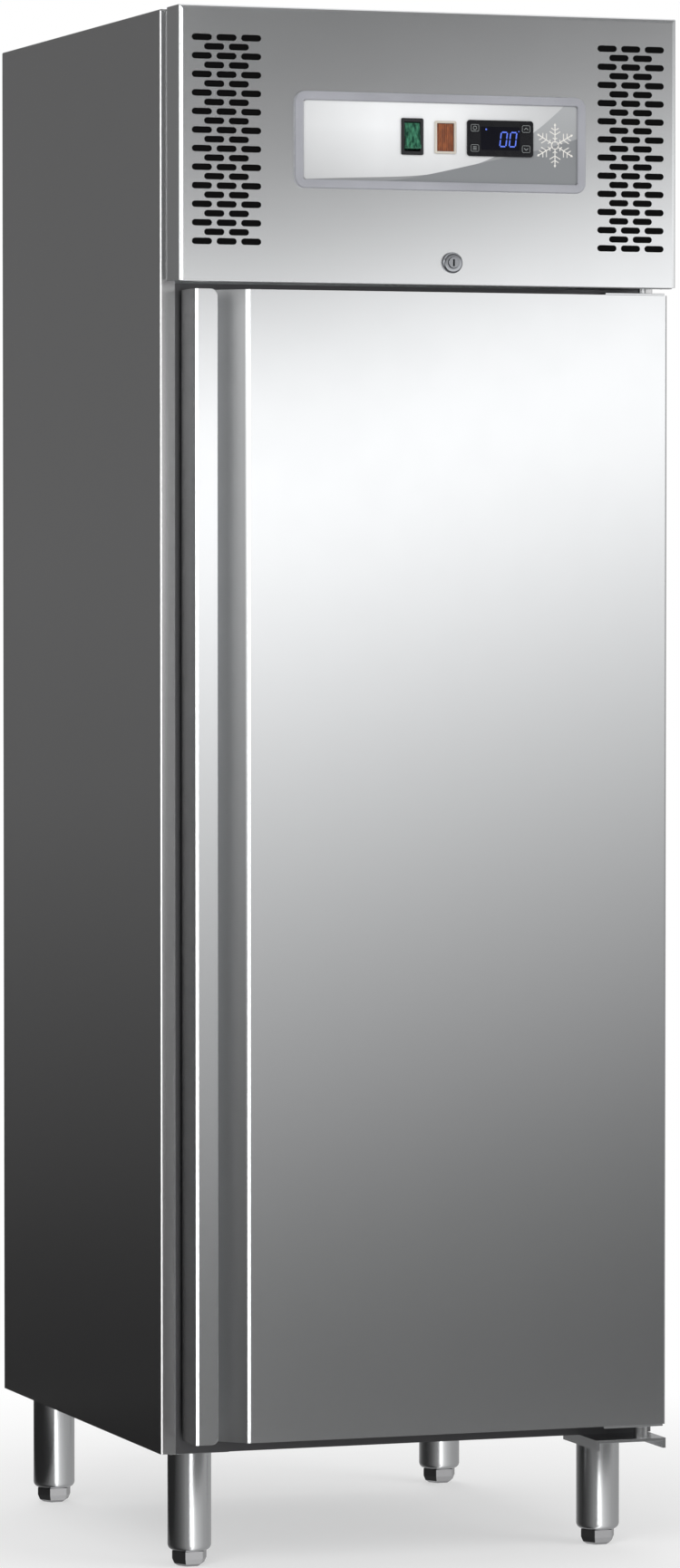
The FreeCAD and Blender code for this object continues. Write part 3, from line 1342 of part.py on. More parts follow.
def condenser_shroud():
    """Fan shroud: a shallow box on the condenser with a round outlet."""
    half = CONDENSER_WIDTH / 2
    z0 = DECK + CONDENSER_RISE
    z1 = z0 + CONDENSER_SIZE
    x0 = CONDENSER_MIDDLE_X - half
    x1 = CONDENSER_MIDDLE_X + half
    y0 = shroud_y()
    y1 = y0 + SHROUD_DEPTH
    box = block(x0, x1, y0, y1, z0, z1)
    s = SHROUD_SHEET
    box = box.cut(block(x0 + s, x1 - s, y0, y1 - s, z0 + s, z1 - s))
    radius = HOT_FAN_RADIUS + FAN_RING_GAP
    outlet = turned_across([(radius, y0), (radius, y1)], OUTLET_SIDES, CONDENSER_MIDDLE_X, HOT_FAN_Z)
    return box.cut(outlet)


def fan(radius):
    """Fan with its axis on z: a hub bored for the shaft, and swept blades pitched about their radii."""
    pieces = [turned([(HUB_RADIUS, -HUB_LENGTH / 2), (HUB_RADIUS, HUB_LENGTH / 2)], HUB_SIDES)]
    root = HUB_RADIUS - 3
    chord = radius * BLADE_CHORD
    lead = chord * 0.45
    thick = BLADE_THICK / 2
    planform = [
        Vector(-lead * BLADE_ROOT, root, -thick),
        Vector(lead * BLADE_ROOT, root, -thick),
        Vector(chord * BLADE_SWEEP[0][0], radius * BLADE_SWEEP[0][1], -thick),
        Vector(chord * BLADE_SWEEP[1][0], radius * BLADE_SWEEP[1][1], -thick),
        Vector(chord * BLADE_SWEEP[2][0], radius * BLADE_SWEEP[2][1], -thick),
    ]
    for i in range(FAN_BLADES):
        blade = prism(planform, 0, (0, 0, BLADE_THICK))
        blade.rotate(Vector(0, 0, 0), Vector(0, 1, 0), BLADE_PITCH)
        blade.rotate(Vector(0, 0, 0), Vector(0, 0, 1), i * 360.0 / FAN_BLADES)
        pieces.append(blade)
    bore = rod(SHAFT_RADIUS + SHAFT_FIT, (0, 0, -HUB_LENGTH / 2 + HUB_END), (0, 0, HUB_LENGTH / 2))
    return joined(pieces).cut(bore)


def fan_motor():
    """Fan motor above a fan on the z axis: a round can and the shaft that enters the hub."""
    start = HUB_LENGTH / 2 + MOTOR_GAP
    end = start + MOTOR_LENGTH
    shoulder = end - MOTOR_BEVEL
    steps = [(MOTOR_RADIUS, start), (MOTOR_RADIUS, shoulder), (MOTOR_RADIUS - MOTOR_BEVEL, end)]
    can = turned(steps, HUB_SIDES)
    return can, rod(SHAFT_RADIUS, (0, 0, -HUB_LENGTH / 2 + HUB_END + THRUST_GAP), (0, 0, start))


def evaporator_fan():
    """Cold-air fan in the airway, blowing down."""
    wheel = fan(COLD_FAN_RADIUS - FAN_RING_GAP)
    wheel.translate(Vector(0, COLD_FAN_Y, COLD_FAN_Z))
    return wheel


def evaporator_fan_motor():
    """Motor of the cold-air fan on a bar that spans the hood."""
    can, shaft = fan_motor()
    half = AIRWAY_WIDTH / 2
    base = HUB_LENGTH / 2 + MOTOR_GAP
    z = DECK - COLD_FAN_Z + BRACKET_SHEET
    z = max(z, base + BRACKET_SHEET)
    bar = block(-half, half, -BRACKET_BAR / 2, BRACKET_BAR / 2, z, z + BRACKET_SHEET)
    motor = joined([can, shaft, bar])
    motor.translate(Vector(0, COLD_FAN_Y, COLD_FAN_Z))
    return motor


def hot_fan_y():
    """Depth of the condenser fan's middle, inside the shroud's outlet."""
    return shroud_y() + SHROUD_DEPTH - HUB_LENGTH / 2


def turned_back(shape):
    """A shape drawn on the z axis, turned to face along y and set on the condenser."""
    shape.rotate(Vector(0, 0, 0), Vector(1, 0, 0), -90)
    shape.translate(Vector(CONDENSER_MIDDLE_X, hot_fan_y(), HOT_FAN_Z))
    return shape


def condenser_fan():
    """Warm-air fan in the shroud."""
    return turned_back(fan(HOT_FAN_RADIUS))


def condenser_fan_motor():
    """Motor of the warm-air fan on a bridge across the shroud."""
    can, shaft = fan_motor()
    half = CONDENSER_WIDTH / 2
    motor = turned_back(joined([can, shaft]))
    y0 = shroud_y() + SHROUD_DEPTH
    y1 = hot_fan_y() + HUB_LENGTH / 2 + MOTOR_GAP + MOTOR_LENGTH / 2
    z0 = HOT_FAN_Z - BRACKET_BAR / 2
    z1 = HOT_FAN_Z + BRACKET_BAR / 2
    x0 = CONDENSER_MIDDLE_X - half
    x1 = CONDENSER_MIDDLE_X + half
    bar = block(x0, x1, y1 - BRACKET_SHEET, y1, z0, z1)
    left = block(x0, x0 + BRACKET_SHEET, y0, y1, z0, z1)
    right = block(x1 - BRACKET_SHEET, x1, y0, y1, z0, z1)
    return joined([motor, bar, left, right])


def compressor():
    """Hermetic compressor: a domed shell on a foot plate, with its terminal cover."""
    foot_z = DECK + GROMMET_HEIGHT
    base = foot_z + COMPRESSOR_PLATE
    top = base + COMPRESSOR_HEIGHT
    r = COMPRESSOR_RADIUS
    d = COMPRESSOR_DOME
    shoulder = d * ARC_MIDDLE
    foot = d - shoulder
    steps = [(r - foot, base), (r, base + foot), (r, top - d), (r - shoulder, top - shoulder), (r - d, top)]
    shell = turned(steps, COMPRESSOR_SIDES)
    half_length = COMPRESSOR_PLATE_LENGTH / 2
    half_width = COMPRESSOR_PLATE_WIDTH / 2
    plate = block(-half_length, half_length, -half_width, half_width, foot_z, base)
    cover_z = base + COMPRESSOR_HEIGHT / 2
    outer_x = -COMPRESSOR_RADIUS - COVER_PROUD
    wide = COVER_WIDTH / 2
    tall = COVER_HEIGHT / 2
    cover = block(outer_x, -COMPRESSOR_RADIUS + COVER_PROUD, -wide, wide, cover_z - tall, cover_z + tall)
    whole = joined([shell, plate, cover])
    whole.translate(Vector(COMPRESSOR_X, COMPRESSOR_Y, 0))
    return whole


def compressor_grommets():
    """Rubber mounts under the corners of the compressor's foot plate."""
    reach_x = COMPRESSOR_PLATE_LENGTH / 2 - GROMMET_RADIUS
    reach_y = COMPRESSOR_PLATE_WIDTH / 2 - GROMMET_RADIUS
    mounts = []
    for sx in (-1, 1):
        for sy in (-1, 1):
            x = COMPRESSOR_X + sx * reach_x
            y = COMPRESSOR_Y + sy * reach_y
            mount = turned([(GROMMET_RADIUS, DECK), (GROMMET_RADIUS, DECK + GROMMET_HEIGHT)], PIPE_SIDES)
            mount.translate(Vector(x, y, 0))
            mounts.append(mount)
    return mounts


def bend_route(points, bend):
    """A route whose corners are replaced by a few facets of a tangent arc."""
    route = [Vector(*points[0])]
    for i in range(1, len(points) - 1):
        corner = Vector(*points[i])
        before = (Vector(*points[i - 1]) - corner).normalize()
        after = (Vector(*points[i + 1]) - corner).normalize()
        half_angle = before.getAngle(after) / 2
        setback = bend / math.tan(half_angle)
        centre = corner + (before + after).normalize() * (bend / math.sin(half_angle))
        first = corner + before * setback - centre
        last = corner + after * setback - centre
        turn = first.getAngle(last)
        for step in range(PIPE_BEND_FACETS + 1):
            share = step / PIPE_BEND_FACETS
            spoke = first * math.sin((1 - share) * turn) + last * math.sin(share * turn)
            route.append(centre + spoke * (1 / math.sin(turn)))
    route.append(Vector(*points[-1]))
    return route


def bent_pipe(points, radius=PIPE_RADIUS, bend=PIPE_BEND):
    """Eight-sided pipe along straight runs, mitred at the facets of its bends."""
    route = bend_route(points, bend)
    direction = (route[1] - route[0]).normalize()
    across = direction.cross(Vector(0, 0, 1)).normalize()
    up = across.cross(direction)
    ring = []
    for i in range(PIPE_SIDES):
        angle = (i + 0.5) * 2 * math.pi / PIPE_SIDES
        ring.append(route[0] + across * (radius * math.cos(angle)) + up * (radius * math.sin(angle)))
    profile = Part.makePolygon(ring + [ring[0]])
    return Part.makePolygon(route).makePipeShell([profile], True, False, 1)


def refrigerant_pipes():
    """Hot-gas pipe to the condenser, liquid pipe with its drier, and the suction pipe."""
    shell_z = DECK + GROMMET_HEIGHT + COMPRESSOR_PLATE + COMPRESSOR_HEIGHT * PORT_SHARE
    coil_x = CONDENSER_MIDDLE_X - CONDENSER_WIDTH / 2
    coil_y = condenser_front() + CONDENSER_DEPTH / 2
    turn_x = coil_x - HOT_PIPE_RUN
    hot_bend = (COMPRESSOR_Y - coil_y) * HOT_BEND_SHARE
    hot_gas = bent_pipe(
        [
            (COMPRESSOR_X + COMPRESSOR_RADIUS, COMPRESSOR_Y, shell_z),
            (turn_x, COMPRESSOR_Y, shell_z),
            (turn_x, coil_y, shell_z),
            (coil_x, coil_y, shell_z),
        ],
        bend=hot_bend,
    )
    liquid_z = DECK + CONDENSER_RISE + LIQUID_PIPE_RISE
    drier_x = coil_x - LIQUID_PIPE_RUN
    drier_y = coil_y + 2 * PIPE_BEND
    drier_start = (drier_x, drier_y, liquid_z)
    drier_end = (drier_x, drier_y + DRIER_LENGTH, liquid_z)
    liquid = bent_pipe([(coil_x, coil_y, liquid_z), (drier_x, coil_y, liquid_z), drier_start])
    drier = bent_pipe([drier_start, drier_end], DRIER_RADIUS)
    tail = bent_pipe([drier_end, (drier_x, HOOD_FRONT, liquid_z)])
    suction_start = COMPRESSOR_Y + COMPRESSOR_RADIUS
    suction = bent_pipe([(COMPRESSOR_X, suction_start, shell_z), (COMPRESSOR_X, HOOD_FRONT, shell_z)])
    return [hot_gas, joined([liquid, drier, tail]), suction]


def power_box():
    """Terminal box of the wiring, on the tray at the left of the hood."""
    x0 = -HALF + TRAY_MARGIN
    y0 = AIRWAY_FRONT
    box = block(x0, x0 + POWER_BOX_WIDTH, y0, y0 + POWER_BOX_DEPTH, DECK, DECK + POWER_BOX_HEIGHT)
    upright = edges_near(box, lambda p: abs(p.z - DECK - POWER_BOX_HEIGHT / 2) < 1)
    return box.makeFillet(POWER_BOX_CORNER, upright)


def rear_grille():
    """Rear sheet of the machine space with rows of wide slots and the hole of the gland."""
    edge = HALF - SIDE_RETURN
    sheet = block(-edge, edge, BODY_DEPTH - SHEET, BODY_DEPTH, BOX_TOP, HEIGHT - SHEET)
    room = HEIGHT - BOX_TOP
    pitch = room * GRILLE_FIELD / GRILLE_SLOTS
    half = GRILLE_SLOT_WIDTH / 2
    slots = []
    for i in range(GRILLE_SLOTS):
        z = BOX_TOP + room * GRILLE_START + i * pitch
        slots.append(block(-half, half, BODY_DEPTH - SHEET, BODY_DEPTH, z, z + GRILLE_SLOT_HEIGHT))
    return sheet.cut(Part.makeCompound(slots + [gland_neck()]))


def gland_neck():
    """The part of the cable gland that fills its hole in the rear sheet."""
    ends = [(GLAND_NECK_RADIUS, BODY_DEPTH - SHEET), (GLAND_NECK_RADIUS, BODY_DEPTH)]
    return turned_across(ends, PIPE_SIDES, GLAND_X, BOX_TOP + GLAND_RISE)


def cable_gland():
    """Gland for the supply cable, inside the rear sheet and flush with it."""
    z = BOX_TOP + GLAND_RISE
    start = BODY_DEPTH - SHEET - GLAND_LENGTH
    inner = turned_across([(GLAND_RADIUS, start), (GLAND_RADIUS, BODY_DEPTH - SHEET)], PIPE_SIDES, GLAND_X, z)
    bore = rod(GLAND_BORE, (GLAND_X, start, z), (GLAND_X, BODY_DEPTH, z))
    return joined([inner, gland_neck()]).cut(bore)


# --- the assembly


def pieces():
    """Every named piece, as one solid or a list of separate solids."""
    left_side = side_panel()
    wing = fascia_wing()
    named = {
        "side_panel_left": left_side,
        "side_panel_right": mirrored(left_side),
        "back_panel": back_panel(),
        "roof_and_base_panels": [roof_panel(), bottom_panel()],
        "wall_insulation": wall_insulation(),
        "inner_liner": inner_liner(),
        "front_frame": front_frame(),
        "rack_posts": rack_posts(),
        "shelf_runners": shelf_runners(),
        "leg_tubes": [leg_tube(x, y) for x, y in leg_places().values()],
        "ceiling_panel": ceiling_panel(),
        "machine_tray": machine_tray(),
        "evaporator_housing": evaporator_housing(),
        "evaporator_coil": evaporator_coil(),
        "evaporator_fan": evaporator_fan(),
        "evaporator_fan_motor": evaporator_fan_motor(),
        "drain_pipe": drain_pipe(),
        "drip_tray": drip_tray(),
        "compressor": compressor(),
        "compressor_grommets": compressor_grommets(),
        "condenser_coil": condenser_coil(),
        "condenser_shroud": condenser_shroud(),
        "condenser_fan": condenser_fan(),
        "condenser_fan_motor": condenser_fan_motor(),
        "refrigerant_pipes": refrigerant_pipes(),
        "power_box": power_box(),
        "rear_grille": rear_grille(),
        "cable_gland": cable_gland(),
        "fascia_wings": [wing, mirrored(wing)],
        "top_hinge": [top_hinge_bracket(), top_hinge_pin()],
        "bottom_hinge": [bottom_hinge_bracket(), bottom_hinge_pin()],
        "door_panel": door_panel(),
        "door_insulation": door_insulation(),
        "door_liner": door_liner(),
        "door_caps": [door_cap(DOOR_BOTTOM), door_cap(DOOR_TOP - DOOR_CAP)],
        "door_gasket": door_gasket(),
        "door_hinge_bushes": [hinge_bush(DOOR_BOTTOM), hinge_bush(DOOR_TOP - BUSH_LENGTH)],
        "door_hinge_plates": [door_hinge_plate(DOOR_BOTTOM - HINGE_PLATE), door_hinge_plate(DOOR_TOP)],
        "fascia_panel": fascia_panel(),
        "control_bezel": control_bezel(),
        "control_plate": control_plate(),
        "switch_housing": switch_housing(),
        "power_rocker": power_rocker(),
        "pilot_frame": pilot_frame(),
        "pilot_lens": pilot_lens(),
        "controller_case": controller_case(),
        "display_window": display_window(),
        "lock_housing": lock_housing(),
        "lock_plug_and_cam": [lock_plug(), lock_cam()],
    }
    for name, (x, z) in key_middles().items():
        named[name] = controller_key(x, z)
    for name, (x, y) in leg_places().items():
        named["foot_" + name] = foot(x, y)
    for number, z in enumerate(shelf_heights(), start=1):
        named["wire_shelf_" + str(number)] = wire_shelf(z)
    return named


def main():
    """Write one file for each piece."""
    os.makedirs("parts", exist_ok=True)
    for name, shape in pieces().items():
        solids = shape if isinstance(shape, list) else [shape]
        moved = [solid.translated(Vector(0, CENTRE_SHIFT, 0)) for solid in solids]
        whole = moved[0] if len(moved) == 1 else Part.makeCompound(moved)
        whole.exportStep(os.path.join("parts", name + ".step"))
        print(name, len(whole.Solids), whole.isValid(), round(whole.Volume / 1000.0, 1))


main()
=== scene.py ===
"""Looks of an upright storage freezer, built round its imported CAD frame.

Every length is in metres. The floor is z = 0, the cabinet's middle is x = 0, its front looks
towards -y, and each new piece is a surface worked out with numpy in that same frame.
"""

import logging
import math
from dataclasses import dataclass, field
from enum import Enum

import bmesh
import bpy
import numpy as np
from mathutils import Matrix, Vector
from mathutils.geometry import delaunay_2d_cdt


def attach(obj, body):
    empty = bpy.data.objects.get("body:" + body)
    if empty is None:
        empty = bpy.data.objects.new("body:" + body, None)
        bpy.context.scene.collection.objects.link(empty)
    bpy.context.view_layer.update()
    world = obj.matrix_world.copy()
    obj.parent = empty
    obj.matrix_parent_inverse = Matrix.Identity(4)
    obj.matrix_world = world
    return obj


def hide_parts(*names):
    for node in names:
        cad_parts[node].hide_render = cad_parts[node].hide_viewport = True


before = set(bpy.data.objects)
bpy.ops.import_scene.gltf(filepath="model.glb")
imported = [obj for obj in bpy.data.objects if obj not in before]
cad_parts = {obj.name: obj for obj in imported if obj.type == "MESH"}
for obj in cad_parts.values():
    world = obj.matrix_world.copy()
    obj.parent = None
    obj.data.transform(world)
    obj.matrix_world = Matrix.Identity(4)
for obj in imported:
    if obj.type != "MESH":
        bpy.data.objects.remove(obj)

LOG = logging.getLogger("freezer")
Array = np.ndarray
Color = tuple[float, float, float]
Link = bpy.types.NodeSocket

EDGE_TILT = math.tan(math.radians(12))  # rise of the narrow edge bands over their width
MERGE = 2e-6  # points nearer than this become one
SIGN = 0.0001  # how far a printed or lit sign stands proud
GREY_RANGE = (0.3, 0.7)  # where nearly all values of a fine noise lie


class Slot(Enum):
    """The record's material slots."""

    STAINLESS = "stainless"
    SIDE_STEEL = "side_steel"
    INNER_STAINLESS = "inner_stainless"
    ZINC_SHEET = "zinc_sheet"
    FOAM = "foam"
    WHITE_PAN = "white_pan"
    GASKET = "gasket_grey"
    BLACK_RUBBER = "black_rubber"
    BLACK_PLASTIC = "black_plastic"
    GREY_PLASTIC = "grey_plastic"
    BEZEL = "bezel_lilac"
    PRINT_PLATE = "print_plate"
    CREAM_PLASTIC = "cream_plastic"
    GREEN_ROCKER = "green_rocker"
    ORANGE_LENS = "orange_lens"
    DARK_WINDOW = "dark_window"
    LOCK_CHROME = "lock_chrome"
    FINS = "aluminium_fins"
    COPPER = "copper_pipe"
    COMPRESSOR_BLACK = "compressor_black"
    NYLON = "nylon"


class Body(Enum):
    """The moving bodies that new pieces ride on."""

    CABINET = "cabinet"
    DOOR = "door"
    FASCIA = "fascia"
    LOCK = "lock"
    ROCKER = "rocker"
    SET_KEY = "set_key"
    MENU_KEY = "menu_key"
    UP_KEY = "up_key"
    DOWN_KEY = "down_key"


# ---------------------------------------------------------------- node tools


class NodeSheet:
    """Places nodes in one tree from left to right and joins them."""

    def __init__(self, tree: bpy.types.NodeTree) -> None:
        """Empties a tree and starts at its left.

        Args:
            tree: the tree to fill.
        """
        self.tree = tree
        self.column = 0
        tree.nodes.clear()

    def add(self, kind: str, inputs: dict | None = None, **settings) -> bpy.types.Node:
        """Adds one node.

        Args:
            kind: the node's Blender type.
            inputs: a value or a linked socket for each input by name or number.
            **settings: the node's own options.

        Returns:
            The new node.
        """
        node = self.tree.nodes.new(kind)
        node.location = (200 * self.column, 0)
        self.column += 1
        for name, value in settings.items():
            setattr(node, name, value)
        for name, value in (inputs or {}).items():
            if isinstance(value, Link):
                self.tree.links.new(value, node.inputs[name])
            else:
                node.inputs[name].default_value = value
        return node

    def math(self, operation: str, first, second=0.0, third=0.0) -> Link:
        """Adds a Math node and returns its result."""
        node = self.add("ShaderNodeMath", {0: first, 1: second, 2: third}, operation=operation)
        return node.outputs[0]

    def axes(self, vector: Link) -> list[Link]:
        """Splits a position into its x, y and z."""
        return list(self.add("ShaderNodeSeparateXYZ", {0: vector}).outputs)

    def stretch(self, vector: Link, scale) -> Link:
        """Multiplies a position by a scale along each axis and returns the result."""
        node = self.add("ShaderNodeVectorMath", {0: vector, 1: scale}, operation="MULTIPLY")
        return node.outputs[0]

    def noise(self, vector: Link, scale, detail: float = 2.0) -> Link:
        """Adds a noise of 0 to 1 over a position and returns its value."""
        node = self.add("ShaderNodeTexNoise", {"Vector": vector, "Scale": scale, "Detail": detail})
        return node.outputs[0]

    def spread(self, value: Link, low: float, high: float, to_low=0.0, to_high=1.0) -> Link:
        """Maps a value's span from low to high onto another span, held at both ends.

        Args:
            value: what is mapped.
            low: the value that gives to_low.
            high: the value that gives to_high.
            to_low: the first result.
            to_high: the last result.

        Returns:
            The mapped value.
        """
        names = {"Value": value, "From Min": low, "From Max": high, "To Min": to_low, "To Max": to_high}
        return self.add("ShaderNodeMapRange", names).outputs[0]

    def blend(self, share, first, second) -> Link:
        """Mixes two colours by a share and returns the result."""
        colors = [(*color, 1.0) if isinstance(color, tuple) else color for color in (first, second)]
        node = self.add("ShaderNodeMix", {0: share, 6: colors[0], 7: colors[1]}, data_type="RGBA")
        return node.outputs[2]

    def relief(self, height: Link, strength: float, distance: float = 0.0001) -> Link:
        """Turns a height into a normal and returns it."""
        names = {"Height": height, "Strength": strength, "Distance": distance}
        return self.add("ShaderNodeBump", names).outputs[0]


def effect(name: str, values: dict, results: tuple[str, ...]) -> tuple[NodeSheet, Link, Link]:
    """Starts a shader node group that reads a position and one value more.

    Args:
        name: the group's name.
        values: that value's name, and its default as a number or a triple.
        results: the names of its outputs, all plain values.

    Returns:
        A sheet to fill the group with, the position and the value.
    """
    tree = bpy.data.node_groups.new(name, "ShaderNodeTree")
    for title, default in ({"Position": (0.0, 0.0, 0.0)} | values).items():
        vector = isinstance(default, tuple)
        kind = "NodeSocketVector" if vector else "NodeSocketFloat"
        tree.interface.new_socket(title, in_out="INPUT", socket_type=kind).default_value = default
    for title in results:
        tree.interface.new_socket(title, in_out="OUTPUT", socket_type="NodeSocketFloat")
    sheet = NodeSheet(tree)
    place, value, *_ = sheet.add("NodeGroupInput").outputs
    return sheet, place, value


class Effects:
    """The surface effects that several finishes share, each built once."""

    made: dict[str, bpy.types.NodeTree] = {}

    @classmethod
    def place(cls, sheet: NodeSheet, name: str, values: dict) -> bpy.types.Node:
        """Places an effect in a material.

        Args:
            sheet: the material's sheet.
            name: the effect, one of the methods below.
            values: its inputs.

        Returns:
            The group node.
        """
        if name not in cls.made:
            cls.made[name] = getattr(cls, name)()
        return sheet.add("ShaderNodeGroup", values, node_tree=cls.made[name])

    @classmethod
    def marks(cls, sheet: NodeSheet, place: Link, scale: float) -> Link:
        """Places the handling marks at a scale and returns their mask."""
        return cls.place(sheet, "handling_marks", {"Position": place, "Scale": scale}).outputs["Mask"]

    @staticmethod
    def drawn_grain() -> bpy.types.NodeTree:
        """Long fine scratches: a noise squeezed across the grain, with a second coarser one."""
        sheet, place, stretch = effect("drawn_grain", {"Stretch": (900.0, 900.0, 8.0)}, ("Fine", "Tone"))
        along = sheet.stretch(place, stretch)
        fine = sheet.noise(along, 1.0, 3.0)
        coarse = sheet.noise(along, 0.22, 2.0)
        tone = sheet.spread(sheet.math("ADD", fine, coarse), 0.7, 1.3)
        sheet.add("NodeGroupOutput", {"Fine": fine, "Tone": tone})
        return sheet.tree

    @staticmethod
    def handling_marks() -> bpy.types.NodeTree:
        """Cloudy wipe marks: two noises multiplied, cut off below a threshold."""
        sheet, place, scale = effect("handling_marks", {"Scale": 5.0}, ("Mask",))
        wide = sheet.noise(place, scale, 3.0)
        dense = sheet.noise(place, sheet.math("MULTIPLY", scale, 4.3), 2.0)
        mask = sheet.spread(sheet.math("MULTIPLY", wide, dense), 0.18, 0.36)
        sheet.add("NodeGroupOutput", {"Mask": mask})
        return sheet.tree

    @staticmethod
    def moulded_skin() -> bpy.types.NodeTree:
        """Fine texture of a mould: a dense noise for the height, a wide one for the tone."""
        sheet, place, scale = effect("moulded_skin", {"Scale": 1400.0}, ("Height", "Tone"))
        height = sheet.noise(place, scale, 2.0)
        tone = sheet.spread(sheet.noise(place, 14.0, 3.0), *GREY_RANGE)
        sheet.add("NodeGroupOutput", {"Height": height, "Tone": tone})
        return sheet.tree

    @staticmethod
    def zinc_spangle() -> bpy.types.NodeTree:
        """Crystals of a zinc coat: each cell of a Voronoi pattern has its own tone."""
        sheet, place, scale = effect("zinc_spangle", {"Scale": 90.0}, ("Tone", "Edge"))
        cells = sheet.add("ShaderNodeTexVoronoi", {"Vector": place, "Scale": scale})
        tone = sheet.add("ShaderNodeSeparateColor", {0: cells.outputs["Color"]}).outputs[0]
        sheet.add("NodeGroupOutput", {"Tone": tone, "Edge": cells.outputs["Distance"]})
        return sheet.tree

    @staticmethod
    def foam_cells() -> bpy.types.NodeTree:
        """Open cells of cut foam: two sizes of Voronoi distance added together."""
        sheet, place, scale = effect("foam_cells", {"Scale": 420.0}, ("Height", "Tone"))
        fine = sheet.add("ShaderNodeTexVoronoi", {"Vector": place, "Scale": scale})
        wide = sheet.add("ShaderNodeTexVoronoi", {"Vector": place, "Scale": 95.0})
        height = sheet.math("ADD", fine.outputs["Distance"], wide.outputs["Distance"])
        tone = sheet.noise(place, 9.0, 3.0)
        sheet.add("NodeGroupOutput", {"Height": height, "Tone": tone})
        return sheet.tree


def shade(name: str) -> tuple[bpy.types.Material, NodeSheet, Link]:
    """Starts a material.

    Args:
        name: the material's name.

    Returns:
        The material, its sheet and the object's own position.
    """
    material = bpy.data.materials.new(name)
    material.use_nodes = True
    sheet = NodeSheet(material.node_tree)
    return material, sheet, sheet.add("ShaderNodeTexCoord").outputs["Object"]


def close(sheet: NodeSheet, inputs: dict) -> None:
    """Ends a material with its shader, which takes the values and links given."""
    shader = sheet.add("ShaderNodeBsdfPrincipled", inputs)
    sheet.add("ShaderNodeOutputMaterial", {"Surface": shader.outputs[0]})


def metal(sheet: NodeSheet, color: Link, rough: Link, normal: Link) -> None:
    """Ends a material as bare metal."""
    close(sheet, {"Base Color": color, "Metallic": 1.0, "Roughness": rough, "Normal": normal})


def darker(color: Color, share: float) -> Color:
    """A colour multiplied by a share."""
    return tuple(round(part * share, 4) for part in color)


# ---------------------------------------------------------------- finishes


@dataclass(frozen=True)
class Finish:
    """What every finish has: a name, and a way to fill its material."""

    name: str

    def fill(self, sheet: NodeSheet, place: Link) -> None:
        """Fills a material's sheet with nodes that follow the position; each finish has its own."""
        raise NotImplementedError

    def material(self) -> bpy.types.Material:
        """Builds the finish's material."""
        material, sheet, place = shade(self.name)
        self.fill(sheet, place)
        return material


@dataclass(frozen=True)
class Steel(Finish):
    """Satin metal with a drawn grain and faint wipe marks."""

    color: Color
    roughness: float = 0.3
    spread: float = 0.003
    stretch: Color = (900.0, 900.0, 8.0)
    relief: float = 0.001
    marks: float = 0.008

    def share(self, sheet: NodeSheet, place: Link) -> Link | float:
        """How much of the colour shows at a place; all of it on plain steel."""
        return 1.0

    def fill(self, sheet: NodeSheet, place: Link) -> None:
        """Builds the metal: tone and roughness follow the grain, and marks dull it."""
        grain = Effects.place(sheet, "drawn_grain", {"Position": place, "Stretch": self.stretch})
        marks = Effects.marks(sheet, place, 4.0)
        low = self.roughness - self.spread / 2
        rough = sheet.spread(grain.outputs["Fine"], 0.25, 0.75, low, low + self.spread)
        rough = sheet.math("ADD", rough, sheet.math("MULTIPLY", marks, self.marks))
        color = sheet.blend(grain.outputs["Tone"], darker(self.color, 0.996), darker(self.color, 1.003))
        color = sheet.blend(sheet.math("MULTIPLY", marks, 0.08), color, darker(self.color, 0.93))
        # On the lip and the grip channel this share paints shade and light into the colour; plain steel keeps
        # all of it.
        color = sheet.blend(self.share(sheet, place), (0.0, 0.0, 0.0), color)
        metal(sheet, color, rough, sheet.relief(grain.outputs["Fine"], self.relief))


@dataclass(frozen=True)
class LipSteel(Steel):
    """Satin metal of the door's lip, whose outer side is darkened toward the floor as painted shade."""

    side: float = -0.315
    heights: tuple[float, float] = (0.25, 1.5)
    most: float = 0.33

    def share(self, sheet: NodeSheet, place: Link) -> Link | float:
        """All of the colour off the side wall; on it, a share that grows with the height, painting shade on
        the side toward the floor.
        """
        x, _, z = sheet.axes(place)
        off_side = sheet.spread(x, self.side + 0.0002, self.side + 0.0005)
        return sheet.math("MAXIMUM", off_side, sheet.spread(z, *self.heights, 0.0, self.most))


@dataclass(frozen=True)
class ChannelSteel(Steel):
    """Duller metal of the grip channel: painted light makes it paler where the lip shades it, and painted
    shade darkens it toward the floor.
    """

    deep: float = -0.284
    edge: float = -0.245
    heights: tuple[float, float] = (0.3, 1.3)

    def share(self, sheet: NodeSheet, place: Link) -> Link | float:
        """A share that falls from the deep edge to the outer edge, times one that grows upward: painted light
        in the lip's shade, painted shade toward the floor.
        """
        x, _, z = sheet.axes(place)
        across = sheet.spread(x, self.deep, self.edge, 1.0, 0.5)
        return sheet.math("MULTIPLY", across, sheet.spread(z, *self.heights, 0.72, 1.0))


@dataclass(frozen=True)
class ZincSheet(Finish):
    """Galvanised sheet with its spangle."""

    color: Color

    def fill(self, sheet: NodeSheet, place: Link) -> None:
        """Builds the coat: each crystal has its own tone and gloss."""
        cells = Effects.place(sheet, "zinc_spangle", {"Position": place, "Scale": 85.0})
        marks = Effects.marks(sheet, place, 3.0)
        color = sheet.blend(cells.outputs["Tone"], darker(self.color, 0.86), darker(self.color, 1.1))
        color = sheet.blend(sheet.math("MULTIPLY", marks, 0.35), color, darker(self.color, 0.8))
        rough = sheet.spread(cells.outputs["Tone"], 0.0, 1.0, 0.36, 0.52)
        metal(sheet, color, rough, sheet.relief(cells.outputs["Edge"], 0.08, 0.0002))


